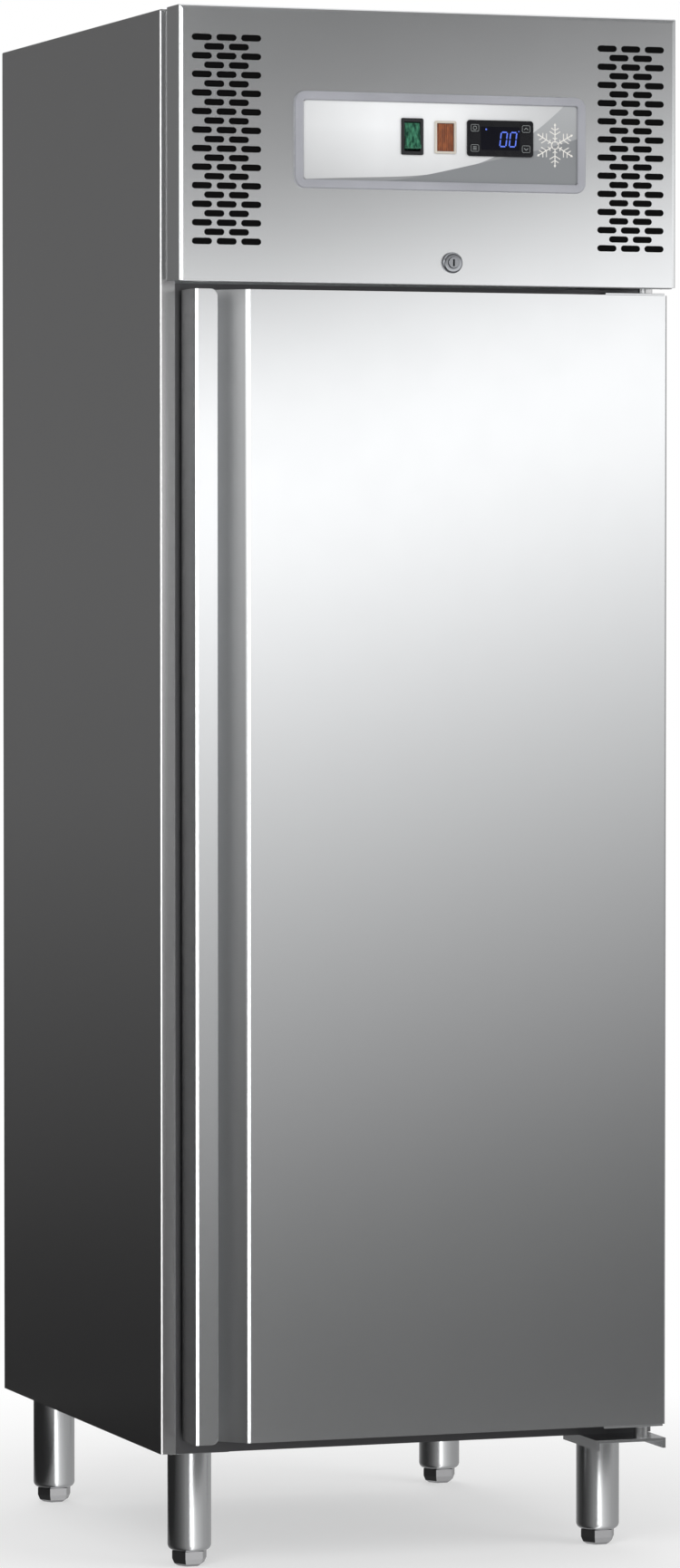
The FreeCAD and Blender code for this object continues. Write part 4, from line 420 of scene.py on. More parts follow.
@dataclass(frozen=True)
class Moulding(Finish):
    """Moulded plastic or rubber."""

    color: Color
    roughness: float = 0.45
    scale: float = 1400.0
    relief: float = 0.12
    coat: float = 0.0
    gloss: float = 0.5

    def fill(self, sheet: NodeSheet, place: Link) -> None:
        """Builds the plastic: a fine mould texture, a little dust in the roughness."""
        skin = Effects.place(sheet, "moulded_skin", {"Position": place, "Scale": self.scale})
        color = sheet.blend(skin.outputs["Tone"], darker(self.color, 0.92), darker(self.color, 1.05))
        around = (self.roughness - 0.04, self.roughness + 0.04)
        rough = sheet.spread(skin.outputs["Height"], *GREY_RANGE, *around)
        dust = sheet.math("MULTIPLY", Effects.marks(sheet, place, 18.0), 0.06)
        inputs = {"Base Color": color, "Roughness": sheet.math("ADD", rough, dust)}
        inputs["Normal"] = sheet.relief(skin.outputs["Height"], self.relief)
        close(sheet, inputs | {"Coat Weight": self.coat, "Specular IOR Level": self.gloss})


@dataclass(frozen=True)
class Foam(Finish):
    """Cut rigid foam."""

    color: Color

    def fill(self, sheet: NodeSheet, place: Link) -> None:
        """Builds the foam: open cells in the height, a cloudy yellow in the tone."""
        cells = Effects.place(sheet, "foam_cells", {"Position": place, "Scale": 420.0})
        color = sheet.blend(cells.outputs["Tone"], darker(self.color, 0.88), darker(self.color, 1.04))
        rough = sheet.spread(cells.outputs["Height"], 0.2, 1.2, 0.95, 0.8)
        normal = sheet.relief(cells.outputs["Height"], 0.5, 0.0006)
        close(sheet, {"Base Color": color, "Roughness": rough, "Normal": normal})


@dataclass(frozen=True)
class Polished(Finish):
    """Polished or cast metal that small scratches dull."""

    color: Color
    roughness: float = 0.1
    stain: Color = (0.3, 0.25, 0.2)
    stained: float = 0.0

    def fill(self, sheet: NodeSheet, place: Link) -> None:
        """Builds the metal: scratches in the roughness, stains where the marks lie."""
        grain = Effects.place(sheet, "drawn_grain", {"Position": place, "Stretch": (600.0, 600.0, 600.0)})
        stains = sheet.math("MULTIPLY", Effects.marks(sheet, place, 22.0), self.stained)
        clean = sheet.blend(grain.outputs["Tone"], darker(self.color, 0.95), self.color)
        rough = sheet.spread(grain.outputs["Fine"], *GREY_RANGE, self.roughness, self.roughness + 0.08)
        color = sheet.blend(stains, clean, self.stain)
        metal(sheet, color, rough, sheet.relief(grain.outputs["Fine"], 0.03))


@dataclass(frozen=True)
class FinPack(Finish):
    """Thin fins seen from their edges, as stripes along x."""

    color: Color
    pitch: float = 0.0025

    def fill(self, sheet: NodeSheet, place: Link) -> None:
        """Builds the fins: the sine of x over the pitch gives gaps darkened as painted shade and fin edges in
        the fins' own colour.
        """
        wave = sheet.math("SINE", sheet.math("MULTIPLY", sheet.axes(place)[0], 2 * math.pi / self.pitch))
        edge = sheet.spread(wave, -0.3, 0.5)
        marks = Effects.marks(sheet, place, 9.0)
        # The gaps between the fins are darkened as painted shade.
        color = sheet.blend(edge, darker(self.color, 0.3), self.color)
        color = sheet.blend(sheet.math("MULTIPLY", marks, 0.3), color, (0.4, 0.4, 0.38))
        rough = sheet.spread(marks, 0.0, 1.0, 0.32, 0.5)
        metal(sheet, color, rough, sheet.relief(edge, 0.4, 0.0008))


@dataclass(frozen=True)
class PlatePrint(Finish):
    """Two-tone print of the control plate: pale sky over two drifts of snow."""

    sky: Color = (0.88, 0.89, 0.9)
    near: Color = (0.22, 0.23, 0.24)
    far: Color = (0.37, 0.38, 0.39)
    left: float = -0.174
    width: float = 0.375
    low_z: float = 1.7915

    def drift(self, sheet: NodeSheet, x: Link, z: Link, lift: float, swing: float, bend: float) -> Link:
        """Mask below a drift's crest: the share across raised to a bend, plus one slow sine of x.

        Args:
            sheet: the material's sheet.
            x: position across the plate.
            z: position up the plate.
            lift: the crest's height over the plate's lower edge at its right end.
            swing: how far the sine lifts it.
            bend: how late the crest rises.

        Returns:
            A mask that is 1 below the crest.
        """
        share = sheet.math("MULTIPLY_ADD", x, 1.0 / self.width, -self.left / self.width)
        rise = sheet.math("POWER", sheet.math("MAXIMUM", share, 0.0), bend)
        sine = sheet.math("SINE", sheet.math("MULTIPLY", share, 7.0))
        crest = sheet.math("MULTIPLY_ADD", rise, lift, sheet.math("MULTIPLY_ADD", sine, swing, self.low_z))
        return sheet.spread(sheet.math("SUBTRACT", crest, z), -0.0002, 0.0002)

    def fill(self, sheet: NodeSheet, place: Link) -> None:
        """Builds the print from two drifts over the sky, under a clear satin film."""
        x, _, z = sheet.axes(place)
        far = self.drift(sheet, x, z, 0.118, 0.003, 3.2)
        near = self.drift(sheet, x, z, 0.062, -0.004, 2.4)
        skin = Effects.place(sheet, "moulded_skin", {"Position": place, "Scale": 2500.0})
        fade = sheet.spread(z, self.low_z, self.low_z + 0.1)
        sky = sheet.blend(skin.outputs["Tone"], darker(self.sky, 0.97), self.sky)
        from_left = sheet.spread(x, self.left, self.left + 0.1, 0.55, 1.0)
        to_right = sheet.spread(x, 0.02, 0.16, 1.0, 0.35)
        sky = sheet.blend(from_left, darker(self.sky, 0.5), sky)
        sky = sheet.blend(to_right, darker(self.sky, 0.45), sky)
        sky = sheet.blend(sheet.spread(fade, 0.0, 0.7), sheet.blend(0.5, darker(self.sky, 0.45), sky), sky)
        slope = sheet.blend(fade, darker(self.far, 0.75), darker(self.far, 1.08))
        color = sheet.blend(near, sheet.blend(far, sky, slope), self.near)
        rough = sheet.spread(skin.outputs["Height"], *GREY_RANGE, 0.3, 0.4)
        normal = sheet.relief(skin.outputs["Height"], 0.04)
        close(sheet, {"Base Color": color, "Roughness": rough, "Normal": normal})


@dataclass(frozen=True)
class LampLens(Finish):
    """Coloured clear plastic over a dark inside: deep in its middle, pale at its ribs."""

    color: Color
    deep: Color
    ribs: float = 0.0
    wash: float = 260.0

    def fill(self, sheet: NodeSheet, place: Link) -> None:
        """Builds the lens: a slow noise and the ribs' cosine mix the deep and clear colours."""
        cloud = sheet.noise(sheet.stretch(place, (1.0, 1.0, 0.35)), self.wash, 2.0)
        share = sheet.spread(cloud, 0.38, 0.66)
        if self.ribs:
            turns = sheet.math("MULTIPLY", sheet.axes(place)[0], 2 * math.pi / self.ribs)
            wave = sheet.math("COSINE", turns)
            share = sheet.spread(sheet.math("ADD", share, sheet.math("MULTIPLY", wave, 0.5)), -0.3, 1.3)
        color = sheet.blend(share, self.deep, self.color)
        skin = Effects.place(sheet, "moulded_skin", {"Position": place, "Scale": 900.0})
        rough = sheet.spread(skin.outputs["Height"], *GREY_RANGE, 0.12, 0.2)
        normal = sheet.relief(skin.outputs["Height"], 0.05)
        inputs = {"Base Color": color, "Roughness": rough, "Normal": normal, "Coat Weight": 0.6}
        close(sheet, inputs | {"Subsurface Weight": 0.15, "Subsurface Scale": 0.002})


@dataclass(frozen=True)
class Sign(Finish):
    """Lit or printed sign of the controller."""

    color: Color
    glow: float = 0.0

    def fill(self, sheet: NodeSheet, place: Link) -> None:
        """Builds the sign: its colour and its glow waver a little over the surface."""
        cloud = sheet.spread(sheet.noise(place, 500.0, 1.0), *GREY_RANGE)
        color = sheet.blend(cloud, darker(self.color, 0.85), self.color)
        lit = {"Emission Color": color, "Emission Strength": self.glow}
        close(sheet, {"Base Color": color, "Roughness": 0.5} | lit)


class Finishes:
    """Every finish of the freezer, and the material made from each the first time it is used."""

    front = Steel("satin steel of the front", (0.74, 0.75, 0.76), roughness=0.26)
    side = Steel("satin steel of the sides", (0.56, 0.56, 0.565), roughness=0.26)
    tube = Steel("satin steel of the legs", (0.74, 0.75, 0.76), 0.22, stretch=(30.0, 30.0, 1100.0))
    foot = Steel("steel of the feet", (0.55, 0.55, 0.56), roughness=0.16)
    # The lip's outer side is darkened toward the floor as painted shade.
    lip = LipSteel("satin steel of the lip with painted shade on its side", (0.74, 0.75, 0.76), roughness=0.26)
    # The channel's pale colour and its share paint light where the lip shades it and shade toward the floor.
    grip = ChannelSteel("duller steel of the grip channel", (0.97, 0.98, 0.99), roughness=0.5)
    # The opening frame's dark colour is painted shade.
    painted_shade_frame = Steel("opening frame steel darkened as painted shade", (0.14, 0.14, 0.145), roughness=0.4)
    inner = Steel("steel of the inside", (0.78, 0.79, 0.8), roughness=0.38, marks=0.05)
    wire = Steel("steel of the shelf wires", (0.78, 0.79, 0.8), roughness=0.24)
    zinc = ZincSheet("zinc sheet", (0.62, 0.64, 0.65))
    foam = Foam("cut foam", (0.88, 0.82, 0.62))
    pan = Moulding("white enamel", (0.86, 0.87, 0.87), roughness=0.35, scale=700.0, relief=0.1, coat=0.2)
    gasket = Moulding("grey gasket rubber", (0.32, 0.33, 0.34), roughness=0.6, relief=0.2)
    rubber = Moulding("black rubber", (0.05, 0.05, 0.055), roughness=0.7, relief=0.25)
    black = Moulding("black plastic", (0.02, 0.02, 0.022), roughness=0.42, relief=0.15, gloss=0.3)
    case = Moulding("smooth black case", (0.008, 0.008, 0.01), roughness=0.25, relief=0.03, gloss=0.25)
    # A near-black sheet behind the vents, as painted shade inside the slots.
    felt = Moulding("black sheet of painted shade behind the vents", (0.004, 0.004, 0.004), 0.95, 900.0, 0.6, gloss=0.05)
    grey = Moulding("grey plastic", (0.5, 0.51, 0.52), roughness=0.45)
    bezel = Moulding("pearl bezel plastic", (0.36, 0.365, 0.4), roughness=0.3, relief=0.05, coat=0.2)
    cream = Moulding("cream plastic", (0.6, 0.56, 0.49), roughness=0.35, relief=0.08)
    nylon = Moulding("white nylon", (0.85, 0.85, 0.82), roughness=0.4)
    green = LampLens("green rocker plastic", (0.06, 0.26, 0.15), (0.006, 0.045, 0.027))
    orange = LampLens("orange lamp lens", (0.36, 0.1, 0.024), (0.14, 0.036, 0.012), ribs=0.0022)
    window = Moulding("dark display window", (0.004, 0.004, 0.008), roughness=0.1, relief=0.01, gloss=0.2)
    chrome = Polished("dark chrome of the lock", (0.34, 0.35, 0.37), roughness=0.12)
    copper = Polished("copper pipe", (0.72, 0.42, 0.28), roughness=0.3, stain=(0.32, 0.18, 0.12), stained=0.6)
    shell = Moulding("black enamel", (0.03, 0.03, 0.035), roughness=0.32, scale=500.0, relief=0.12, coat=0.3)
    fins = FinPack("aluminium fins", (0.75, 0.76, 0.78))
    plate = PlatePrint("printed plate")
    crystal = Sign("cream snow crystal", (0.82, 0.8, 0.76))
    digits = Sign("blue digits", (0.07, 0.13, 0.6), glow=0.7)
    signs = Sign("grey key signs", (0.3, 0.32, 0.32))
    made: dict[str, bpy.types.Material] = {}

    by_slot = {
        Slot.STAINLESS: front,
        Slot.SIDE_STEEL: side,
        Slot.INNER_STAINLESS: inner,
        Slot.ZINC_SHEET: zinc,
        Slot.FOAM: foam,
        Slot.WHITE_PAN: pan,
        Slot.GASKET: gasket,
        Slot.BLACK_RUBBER: rubber,
        Slot.BLACK_PLASTIC: black,
        Slot.GREY_PLASTIC: grey,
        Slot.BEZEL: bezel,
        Slot.PRINT_PLATE: plate,
        Slot.CREAM_PLASTIC: cream,
        Slot.GREEN_ROCKER: green,
        Slot.ORANGE_LENS: orange,
        Slot.DARK_WINDOW: window,
        Slot.LOCK_CHROME: chrome,
        Slot.FINS: fins,
        Slot.COPPER: copper,
        Slot.COMPRESSOR_BLACK: shell,
        Slot.NYLON: nylon,
    }

    @classmethod
    def material(cls, finish: Finish) -> bpy.types.Material:
        """Gives a finish's material, building it the first time.

        Args:
            finish: one of the finishes above.

        Returns:
            Its material.
        """
        if finish.name not in cls.made:
            cls.made[finish.name] = finish.material()
        return cls.made[finish.name]


# ---------------------------------------------------------------- surfaces


def placed(name: str, data: bpy.types.ID) -> bpy.types.Object:
    """Puts a mesh, light or camera into the scene as an object at the origin."""
    thing = bpy.data.objects.new(name, data)
    bpy.context.scene.collection.objects.link(thing)
    return thing


@dataclass(frozen=True)
class Patch:
    """A surface on a grid of rows and columns of points."""

    points: Array
    wrap_rows: bool = False
    wrap_columns: bool = False
    caps: bool = False

    def faces(self) -> list[list[int]]:
        """Four-sided faces between neighbouring rows and columns, and a face at each end if capped."""
        rows, columns = self.points.shape[:2]
        row, column = np.meshgrid(
            np.arange(rows if self.wrap_rows else rows - 1),
            np.arange(columns if self.wrap_columns else columns - 1),
            indexing="ij",
        )
        below, right = (row + 1) % rows * columns, (column + 1) % columns
        quads = np.stack([row * columns + column, row * columns + right, below + right, below + column], -1)
        faces = quads.reshape(-1, 4).tolist()
        if self.caps:
            faces.append(list(range(columns))[::-1])
            faces.append(list(range((rows - 1) * columns, rows * columns)))
        return faces

    def bare_mesh(self, name: str) -> bpy.types.Mesh:
        """The surface as a mesh of its own, neither merged nor dressed."""
        mesh = bpy.data.meshes.new(name)
        mesh.from_pydata(self.points.reshape(-1, 3).tolist(), [], self.faces())
        return mesh


@dataclass
class Piece:
    """One new piece: its patches, what it rides on, its finish and what it stands for."""

    name: str
    body: Body
    slot: Slot
    finish: Finish
    stands_for: tuple[str, ...] = ()
    sharp: float = 35.0

    def mesh(self, patches: list[Patch], toward: Color | None = None) -> bpy.types.Object:
        """Joins patches into one mesh whose faces look outwards.

        Args:
            patches: the surfaces, which meet where their points coincide.
            toward: for an open sheet, a direction that its outer side looks in on the whole.

        Returns:
            The new object, dressed and riding on its body.
        """
        points, faces, start = [], [], 0
        for patch in patches:
            flat = patch.points.reshape(-1, 3)
            points.append(flat)
            faces += [[index + start for index in face] for face in patch.faces()]
            start += len(flat)
        return self.from_faces(np.concatenate(points), faces, toward)

    def from_faces(self, points: Array, faces: list, toward: Color | None = None) -> bpy.types.Object:
        """Makes the object from points and faces; doubles are merged, then normals are set."""
        mesh = bpy.data.meshes.new(self.name)
        mesh.from_pydata(points.tolist(), [], faces)
        work = bmesh.new()
        work.from_mesh(mesh)
        bmesh.ops.remove_doubles(work, verts=work.verts, dist=MERGE)
        bmesh.ops.dissolve_degenerate(work, edges=work.edges, dist=1e-7)
        bmesh.ops.recalc_face_normals(work, faces=work.faces)
        if toward is not None:
            work.normal_update()
            total = sum((face.normal * face.calc_area() for face in work.faces), Vector())
            if total.dot(Vector(toward)) < 0:
                bmesh.ops.reverse_faces(work, faces=work.faces)
        work.to_mesh(mesh)
        work.free()
        return self.settle(mesh, toward)

    def settle(self, mesh: bpy.types.Mesh, toward: Color | None = None) -> bpy.types.Object:
        """Smooths a mesh up to its sharp edges, dresses it and puts it on its body.

        On an open sheet the free edges are sharp, and so are the edges of its main flat, which
        keeps its reflections straight.

        Args:
            mesh: the piece's mesh, in the frame's place.
            toward: the direction that an open sheet's main flat looks in.

        Returns:
            The new object.
        """
        mesh.shade_smooth()
        mesh.set_sharp_from_angle(angle=math.radians(self.sharp))
        if toward is not None:
            work = bmesh.new()
            work.from_mesh(mesh)
            work.normal_update()
            ahead = Vector(toward)
            for edge in work.edges:
                flats = [face.normal.dot(ahead) > 0.99995 for face in edge.link_faces]
                if edge.is_boundary or any(flats) and not all(flats):
                    edge.smooth = False
            work.to_mesh(mesh)
            work.free()
        mesh.materials.clear()
        mesh.materials.append(Finishes.material(self.finish))
        thing = placed(self.name, mesh)
        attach(thing, self.body.value)
        if self.stands_for:
            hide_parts(*self.stands_for)
        LOG.info("%s: %d faces", self.name, len(mesh.polygons))
        return thing

    def softened(self, node: str, width: float) -> bpy.types.Object:
        """Copies a CAD node, merges its triangles into faces and rounds its edges.

        Args:
            node: the CAD node.
            width: the rounding's width.

        Returns:
            The new object, which stands for the node.
        """
        work = bmesh.new()
        work.from_mesh(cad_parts[node].data)
        bmesh.ops.remove_doubles(work, verts=work.verts, dist=MERGE)
        bmesh.ops.dissolve_limit(work, angle_limit=math.radians(1.0), verts=work.verts, edges=work.edges)
        mesh = bpy.data.meshes.new(self.name)
        work.to_mesh(mesh)
        work.free()
        for attribute in [item for item in mesh.attributes if item.name == "custom_normal"]:
            mesh.attributes.remove(attribute)
        self.stands_for = (node,)
        thing = self.settle(mesh)
        round_edges(thing, width)
        return thing


def round_edges(thing: bpy.types.Object, width: float) -> None:
    """Rounds a piece's sharp edges in two steps and evens the shading of its flats."""
    bevel = thing.modifiers.new("rounding", "BEVEL")
    bevel.width, bevel.segments, bevel.limit_method = width, 2, "ANGLE"
    bevel.angle_limit = math.radians(32)
    even_shading(thing)


def even_shading(thing: bpy.types.Object) -> None:
    """Weighs normals by face area, so that flats stay flat beside their bends."""
    weighted = thing.modifiers.new("even", "WEIGHTED_NORMAL")
    weighted.keep_sharp, weighted.weight = True, 100


def thicken(thing: bpy.types.Object, thickness: float) -> None:
    """Gives a sheet its thickness behind its outer side, and evens the shading of its flats."""
    wall = thing.modifiers.new("sheet", "SOLIDIFY")
    wall.thickness, wall.offset, wall.use_even_offset = thickness, -1.0, True
    even_shading(thing)


def bent_path(corners: Array, radii: list[float], facets: int = 6, closed: bool = False) -> Array:
    """Replaces the corners of a path by arcs that touch both of their sides.

    At a corner with half angle h, an arc of radius r starts r / tan(h) from the corner and turns
    about a point r / sin(h) away along the bisector. Its points are the weighted mean of the
    first and last spokes, by sines of the angle left and the angle turned.

    Args:
        corners: the corners in two axes.
        radii: the radius at each corner, 0 for a sharp one.
        facets: the number of steps in each arc.
        closed: whether the last corner joins the first.

    Returns:
        The points of the path.
    """
    runs = []
    share = np.linspace(0.0, 1.0, facets + 1)[:, None]
    for i, corner in enumerate(corners):
        if radii[i] <= 0 or (not closed and i in (0, len(corners) - 1)):
            runs.append(corner[None])
            continue
        back = corners[i - 1] - corner
        ahead = corners[(i + 1) % len(corners)] - corner
        back, ahead = back / np.linalg.norm(back), ahead / np.linalg.norm(ahead)
        half = math.acos(float(np.clip(back @ ahead, -1, 1))) / 2
        middle = corner + (back + ahead) / np.linalg.norm(back + ahead) * radii[i] / math.sin(half)
        first = corner + back * radii[i] / math.tan(half) - middle
        last = corner + ahead * radii[i] / math.tan(half) - middle
        turn = math.pi - 2 * half
        spokes = first * np.sin((1 - share) * turn) + last * np.sin(share * turn)
        runs.append(middle + spokes / math.sin(turn))
    return np.concatenate(runs)


def rounded_rectangle(width: float, height: float, radius: float, facets: int = 6) -> Array:
    """Points round a rectangle whose corners are quarter circles, anticlockwise from the right.

    Args:
        width: its size across.
        height: its size up.
        radius: the radius of its corners.
        facets: the steps in each corner.

    Returns:
        The points, four times facets + 1 of them.
    """
    radius = max(radius, 1e-4)
    angle = np.arange(4)[:, None] * math.pi / 2 + np.linspace(0, math.pi / 2, facets + 1)
    middle = np.array([[1, 1], [-1, 1], [-1, -1], [1, -1]]) * (np.array([width, height]) / 2 - radius)
    circle = np.stack([np.cos(angle), np.sin(angle)], -1) * radius
    return (middle[:, None] + circle).reshape(-1, 2)


def front_rings(
    middle: tuple[float, float], size: tuple[float, float], radius: float, levels: list, facets: int = 6
) -> Array:
    """Rounded rectangles that stand across y, each drawn in by its level's inset at its depth.

    Args:
        middle: x and z of the middle.
        size: the full width and height.
        radius: the corner radius at no inset.
        levels: pairs of inset and y.
        facets: the steps in each corner.

    Returns:
        A grid with a row for each level.
    """
    width, height = size
    rows = [
        rounded_rectangle(width - 2 * inset, height - 2 * inset, radius - inset, facets)
        for inset, _ in levels
    ]
    outline = np.stack(rows)
    depth = np.broadcast_to(np.array([y for _, y in levels])[:, None], outline.shape[:2])
    return np.stack([outline[..., 0] + middle[0], depth, outline[..., 1] + middle[1]], -1)


def turned(profile: Array, middle: tuple[float, float], sides: int, upright: bool = True) -> Array:
    """Turns a profile about an axis: each pair of radius and place along it becomes a circle.

    Args:
        profile: pairs of radius and place along the axis.
        middle: x and y of an upright axis, or x and z of one along y.
        sides: the points in each circle.
        upright: whether the axis is upright.

    Returns:
        A grid with a row for each pair.
    """
    angle = (np.arange(sides) + 0.5) * 2 * math.pi / sides
    across = profile[:, :1] * np.cos(angle) + middle[0]
    other = profile[:, :1] * np.sin(angle) + middle[1]
    along = np.broadcast_to(profile[:, 1:], across.shape)
    return np.stack([across, other, along] if upright else [across, along, other], -1)


def drawn_up(plan: Array, heights: Array) -> Array:
    """Carries a plan outline straight up: the same x and y at each height.

    Args:
        plan: the outline in x and y.
        heights: the heights of the rows.

    Returns:
        A grid with a row for each height.
    """
    flat = np.broadcast_to(plan, (len(heights), *plan.shape))
    return np.concatenate([flat, np.broadcast_to(heights[:, None, None], (*flat.shape[:2], 1))], -1)


def raised_signs(outlines: list[Array], back: float) -> list[Patch]:
    """Raises flat shapes in x and z from a y towards the front, by a sign's height.

    Over and over in a cycle of eight, each stands a tenth of that height behind the one before,
    so that shapes that cross have no faces in one plane.

    Args:
        outlines: the shapes.
        back: the y that they stand on.

    Returns:
        A closed patch for each.
    """
    patches = []
    for number, outline in enumerate(outlines):
        step = 0.1 * SIGN * (number % 8)
        rows = [np.insert(outline, 1, y + step, axis=1) for y in (back, back - SIGN)]
        patches.append(Patch(np.stack(rows), wrap_columns=True, caps=True))
    return patches


def bar(start: Array, end: Array, half: float) -> Array:
    """Four corners of a flat bar between two points, with a half width."""
    along = (end - start) / np.linalg.norm(end - start)
    across = np.array([-along[1], along[0]]) * half
    return np.stack([start - across, end - across, end + across, start + across])


# ---------------------------------------------------------------- pieces


@dataclass
class Cabinet:
    """Outer sides of the cabinet, folded from sheet, and the hinge brackets."""

    half: float = 0.340
    front: float = -0.316
    back: float = 0.404
    low: float = 0.153
    high: float = 2.010
    fold: float = 0.020
    top_fold: float = 0.015
    band: float = 0.0022
    edge_bends: tuple[float, float] = (0.001, 0.0005)
    bend: float = 0.002
    sheet: float = 0.001

    def side(self, sign: int) -> list[Patch]:
        """One side: a U of three walls carried up, and the top fold carried back.

        The front bend is a narrow band at 12 degrees to the front, then the rest of the turn.
        """
        x = sign * self.half
        corners = np.array(
            [
                [x - sign * self.fold, self.front],
                [x - sign * self.band, self.front],
                [x, self.front + self.band * EDGE_TILT],
                [x, self.back],
                [x - sign * self.fold, self.back],
            ]
        )
        plan = bent_path(corners, [0, *self.edge_bends, self.bend, 0])
        walls = Patch(drawn_up(plan, np.array([self.low, self.high - self.bend])))
        top = bent_path(
            np.array([[x, self.high - 2 * self.bend], [x, self.high], [x - sign * self.top_fold, self.high]]),
            [0, self.bend, 0],
        )[1:]
        places = np.array([self.front + self.bend, self.back - self.bend])
        grid = np.stack([np.insert(top, 1, y, axis=1) for y in places])
        return [walls, Patch(grid)]

    def build(self) -> None:
        """Builds both sides and rounds the hinge brackets."""
        for sign, word in ((-1, "left"), (1, "right")):
            node = f"side_panel_{word}"
            piece = Piece(f"side_{word}", Body.CABINET, Slot.SIDE_STEEL, Finishes.side, (node,))
            thicken(piece.mesh(self.side(sign), (sign, 0.0, 0.0)), self.sheet)
        for node in ("top_hinge", "bottom_hinge"):
            Piece(f"{node}_rounded", Body.CABINET, Slot.STAINLESS, Finishes.front).softened(node, 0.0006)


@dataclass
class Door:
    """Door skin with its slanted grip channel, the folded lip, and the hinge fittings."""

    left: float = -0.315
    right: float = 0.3335
    low: float = 0.172
    high: float = 1.6508
    front: float = -0.384
    back: float = -0.328
    bend: float = 0.0035
    band: float = 0.0045
    soft: float = 0.002
    crisp: float = 0.001
    seam: float = 0.0022
    lip_edge: float = -0.284
    lip_thick: float = 0.003
    lip_corner: float = 0.009
    panel_edge: float = -0.2405
    channel_floor: float = -0.343
    channel_bend: float = 0.007
    sheet: float = 0.001

    def skin(self) -> tuple[Patch, Patch]:
        """The skin's plan line from the hinge side to the channel's floor, carried up in two.

        The bend into the channel starts with a narrow band at 12 degrees to the front. The two
        parts meet on the channel's slanted wall, just past the bend, at the corner plus the
        wall's direction times the seam.

        Returns:
            The front with both of its bends, and the channel.
        """
        inside = self.left + self.lip_thick
        start = np.array([self.panel_edge, self.front])
        corner = start + [-self.band, self.band * EDGE_TILT]
        deep = np.array([self.lip_edge, self.channel_floor])
        seam = corner + (deep - corner) / np.linalg.norm(deep - corner) * self.seam
        front = np.array([[self.right, self.back], [self.right, self.front], start, corner, seam])
        channel = np.array([seam, deep, [inside, self.channel_floor]])
        heights = np.array([self.low, self.high])
        return (
            Patch(drawn_up(bent_path(front, [0, self.bend, self.soft, self.crisp, 0]), heights)),
            Patch(drawn_up(bent_path(channel, [0, self.channel_bend, 0]), heights)),
        )

    def lip(self) -> Patch:
        """The lip's closed L in plan, carried up; near its ends the free edge draws back.

        Its outer bend has the same narrow band as the skin's.

        The draw-back at a distance d from an end is r - sqrt(r^2 - (r - d)^2), a quarter circle.
        """
        inside, inner = self.left + self.lip_thick, self.front + self.lip_thick
        corners = np.array(
            [
                [self.left, self.back],
                [self.left, self.front + self.band * EDGE_TILT],
                [self.left + self.band, self.front],
                [self.lip_edge, self.front],
                [self.lip_edge, inner],
                [inside, inner],
                [inside, self.back],
            ]
        )
        edge = self.lip_thick * 0.45
        plan = bent_path(corners, [0, self.crisp, self.soft, edge, edge, 0.0006, 0], 6, closed=True)
        turn = np.linspace(0, math.pi / 2, 9)
        rise = self.lip_corner * (1 - np.cos(turn))
        inset = self.lip_corner * (1 - np.sin(turn))
        heights = np.concatenate([self.low + rise, (self.high - rise)[::-1]])
        pull = np.concatenate([inset, inset[::-1]])
        grid = drawn_up(plan, heights).copy()
        free = grid[..., 0] > self.lip_edge - 2.5 * edge
        grid[..., 0] -= np.where(free, pull[:, None], 0.0)
        return Patch(grid, wrap_columns=True, caps=True)

    def build(self) -> None:
        """Builds the skin, the channel and the lip, and rounds the caps and hinge plates."""
        front, channel = self.skin()
        skin = Piece("door_skin", Body.DOOR, Slot.STAINLESS, Finishes.front, ("door_panel",))
        grip = Piece("door_channel", Body.DOOR, Slot.STAINLESS, Finishes.grip)
        for piece, patch in ((skin, front), (grip, channel)):
            thicken(piece.mesh([patch], (0.0, -1.0, 0.0)), self.sheet)
        lip = Piece("door_lip", Body.DOOR, Slot.STAINLESS, Finishes.lip)
        even_shading(lip.mesh([self.lip()]))
        Piece("door_end_caps", Body.DOOR, Slot.BLACK_PLASTIC, Finishes.black).softened("door_caps", 0.0004)
        plates = Piece("door_hinge_plates_rounded", Body.DOOR, Slot.STAINLESS, Finishes.front)
        plates.softened("door_hinge_plates", 0.0006)


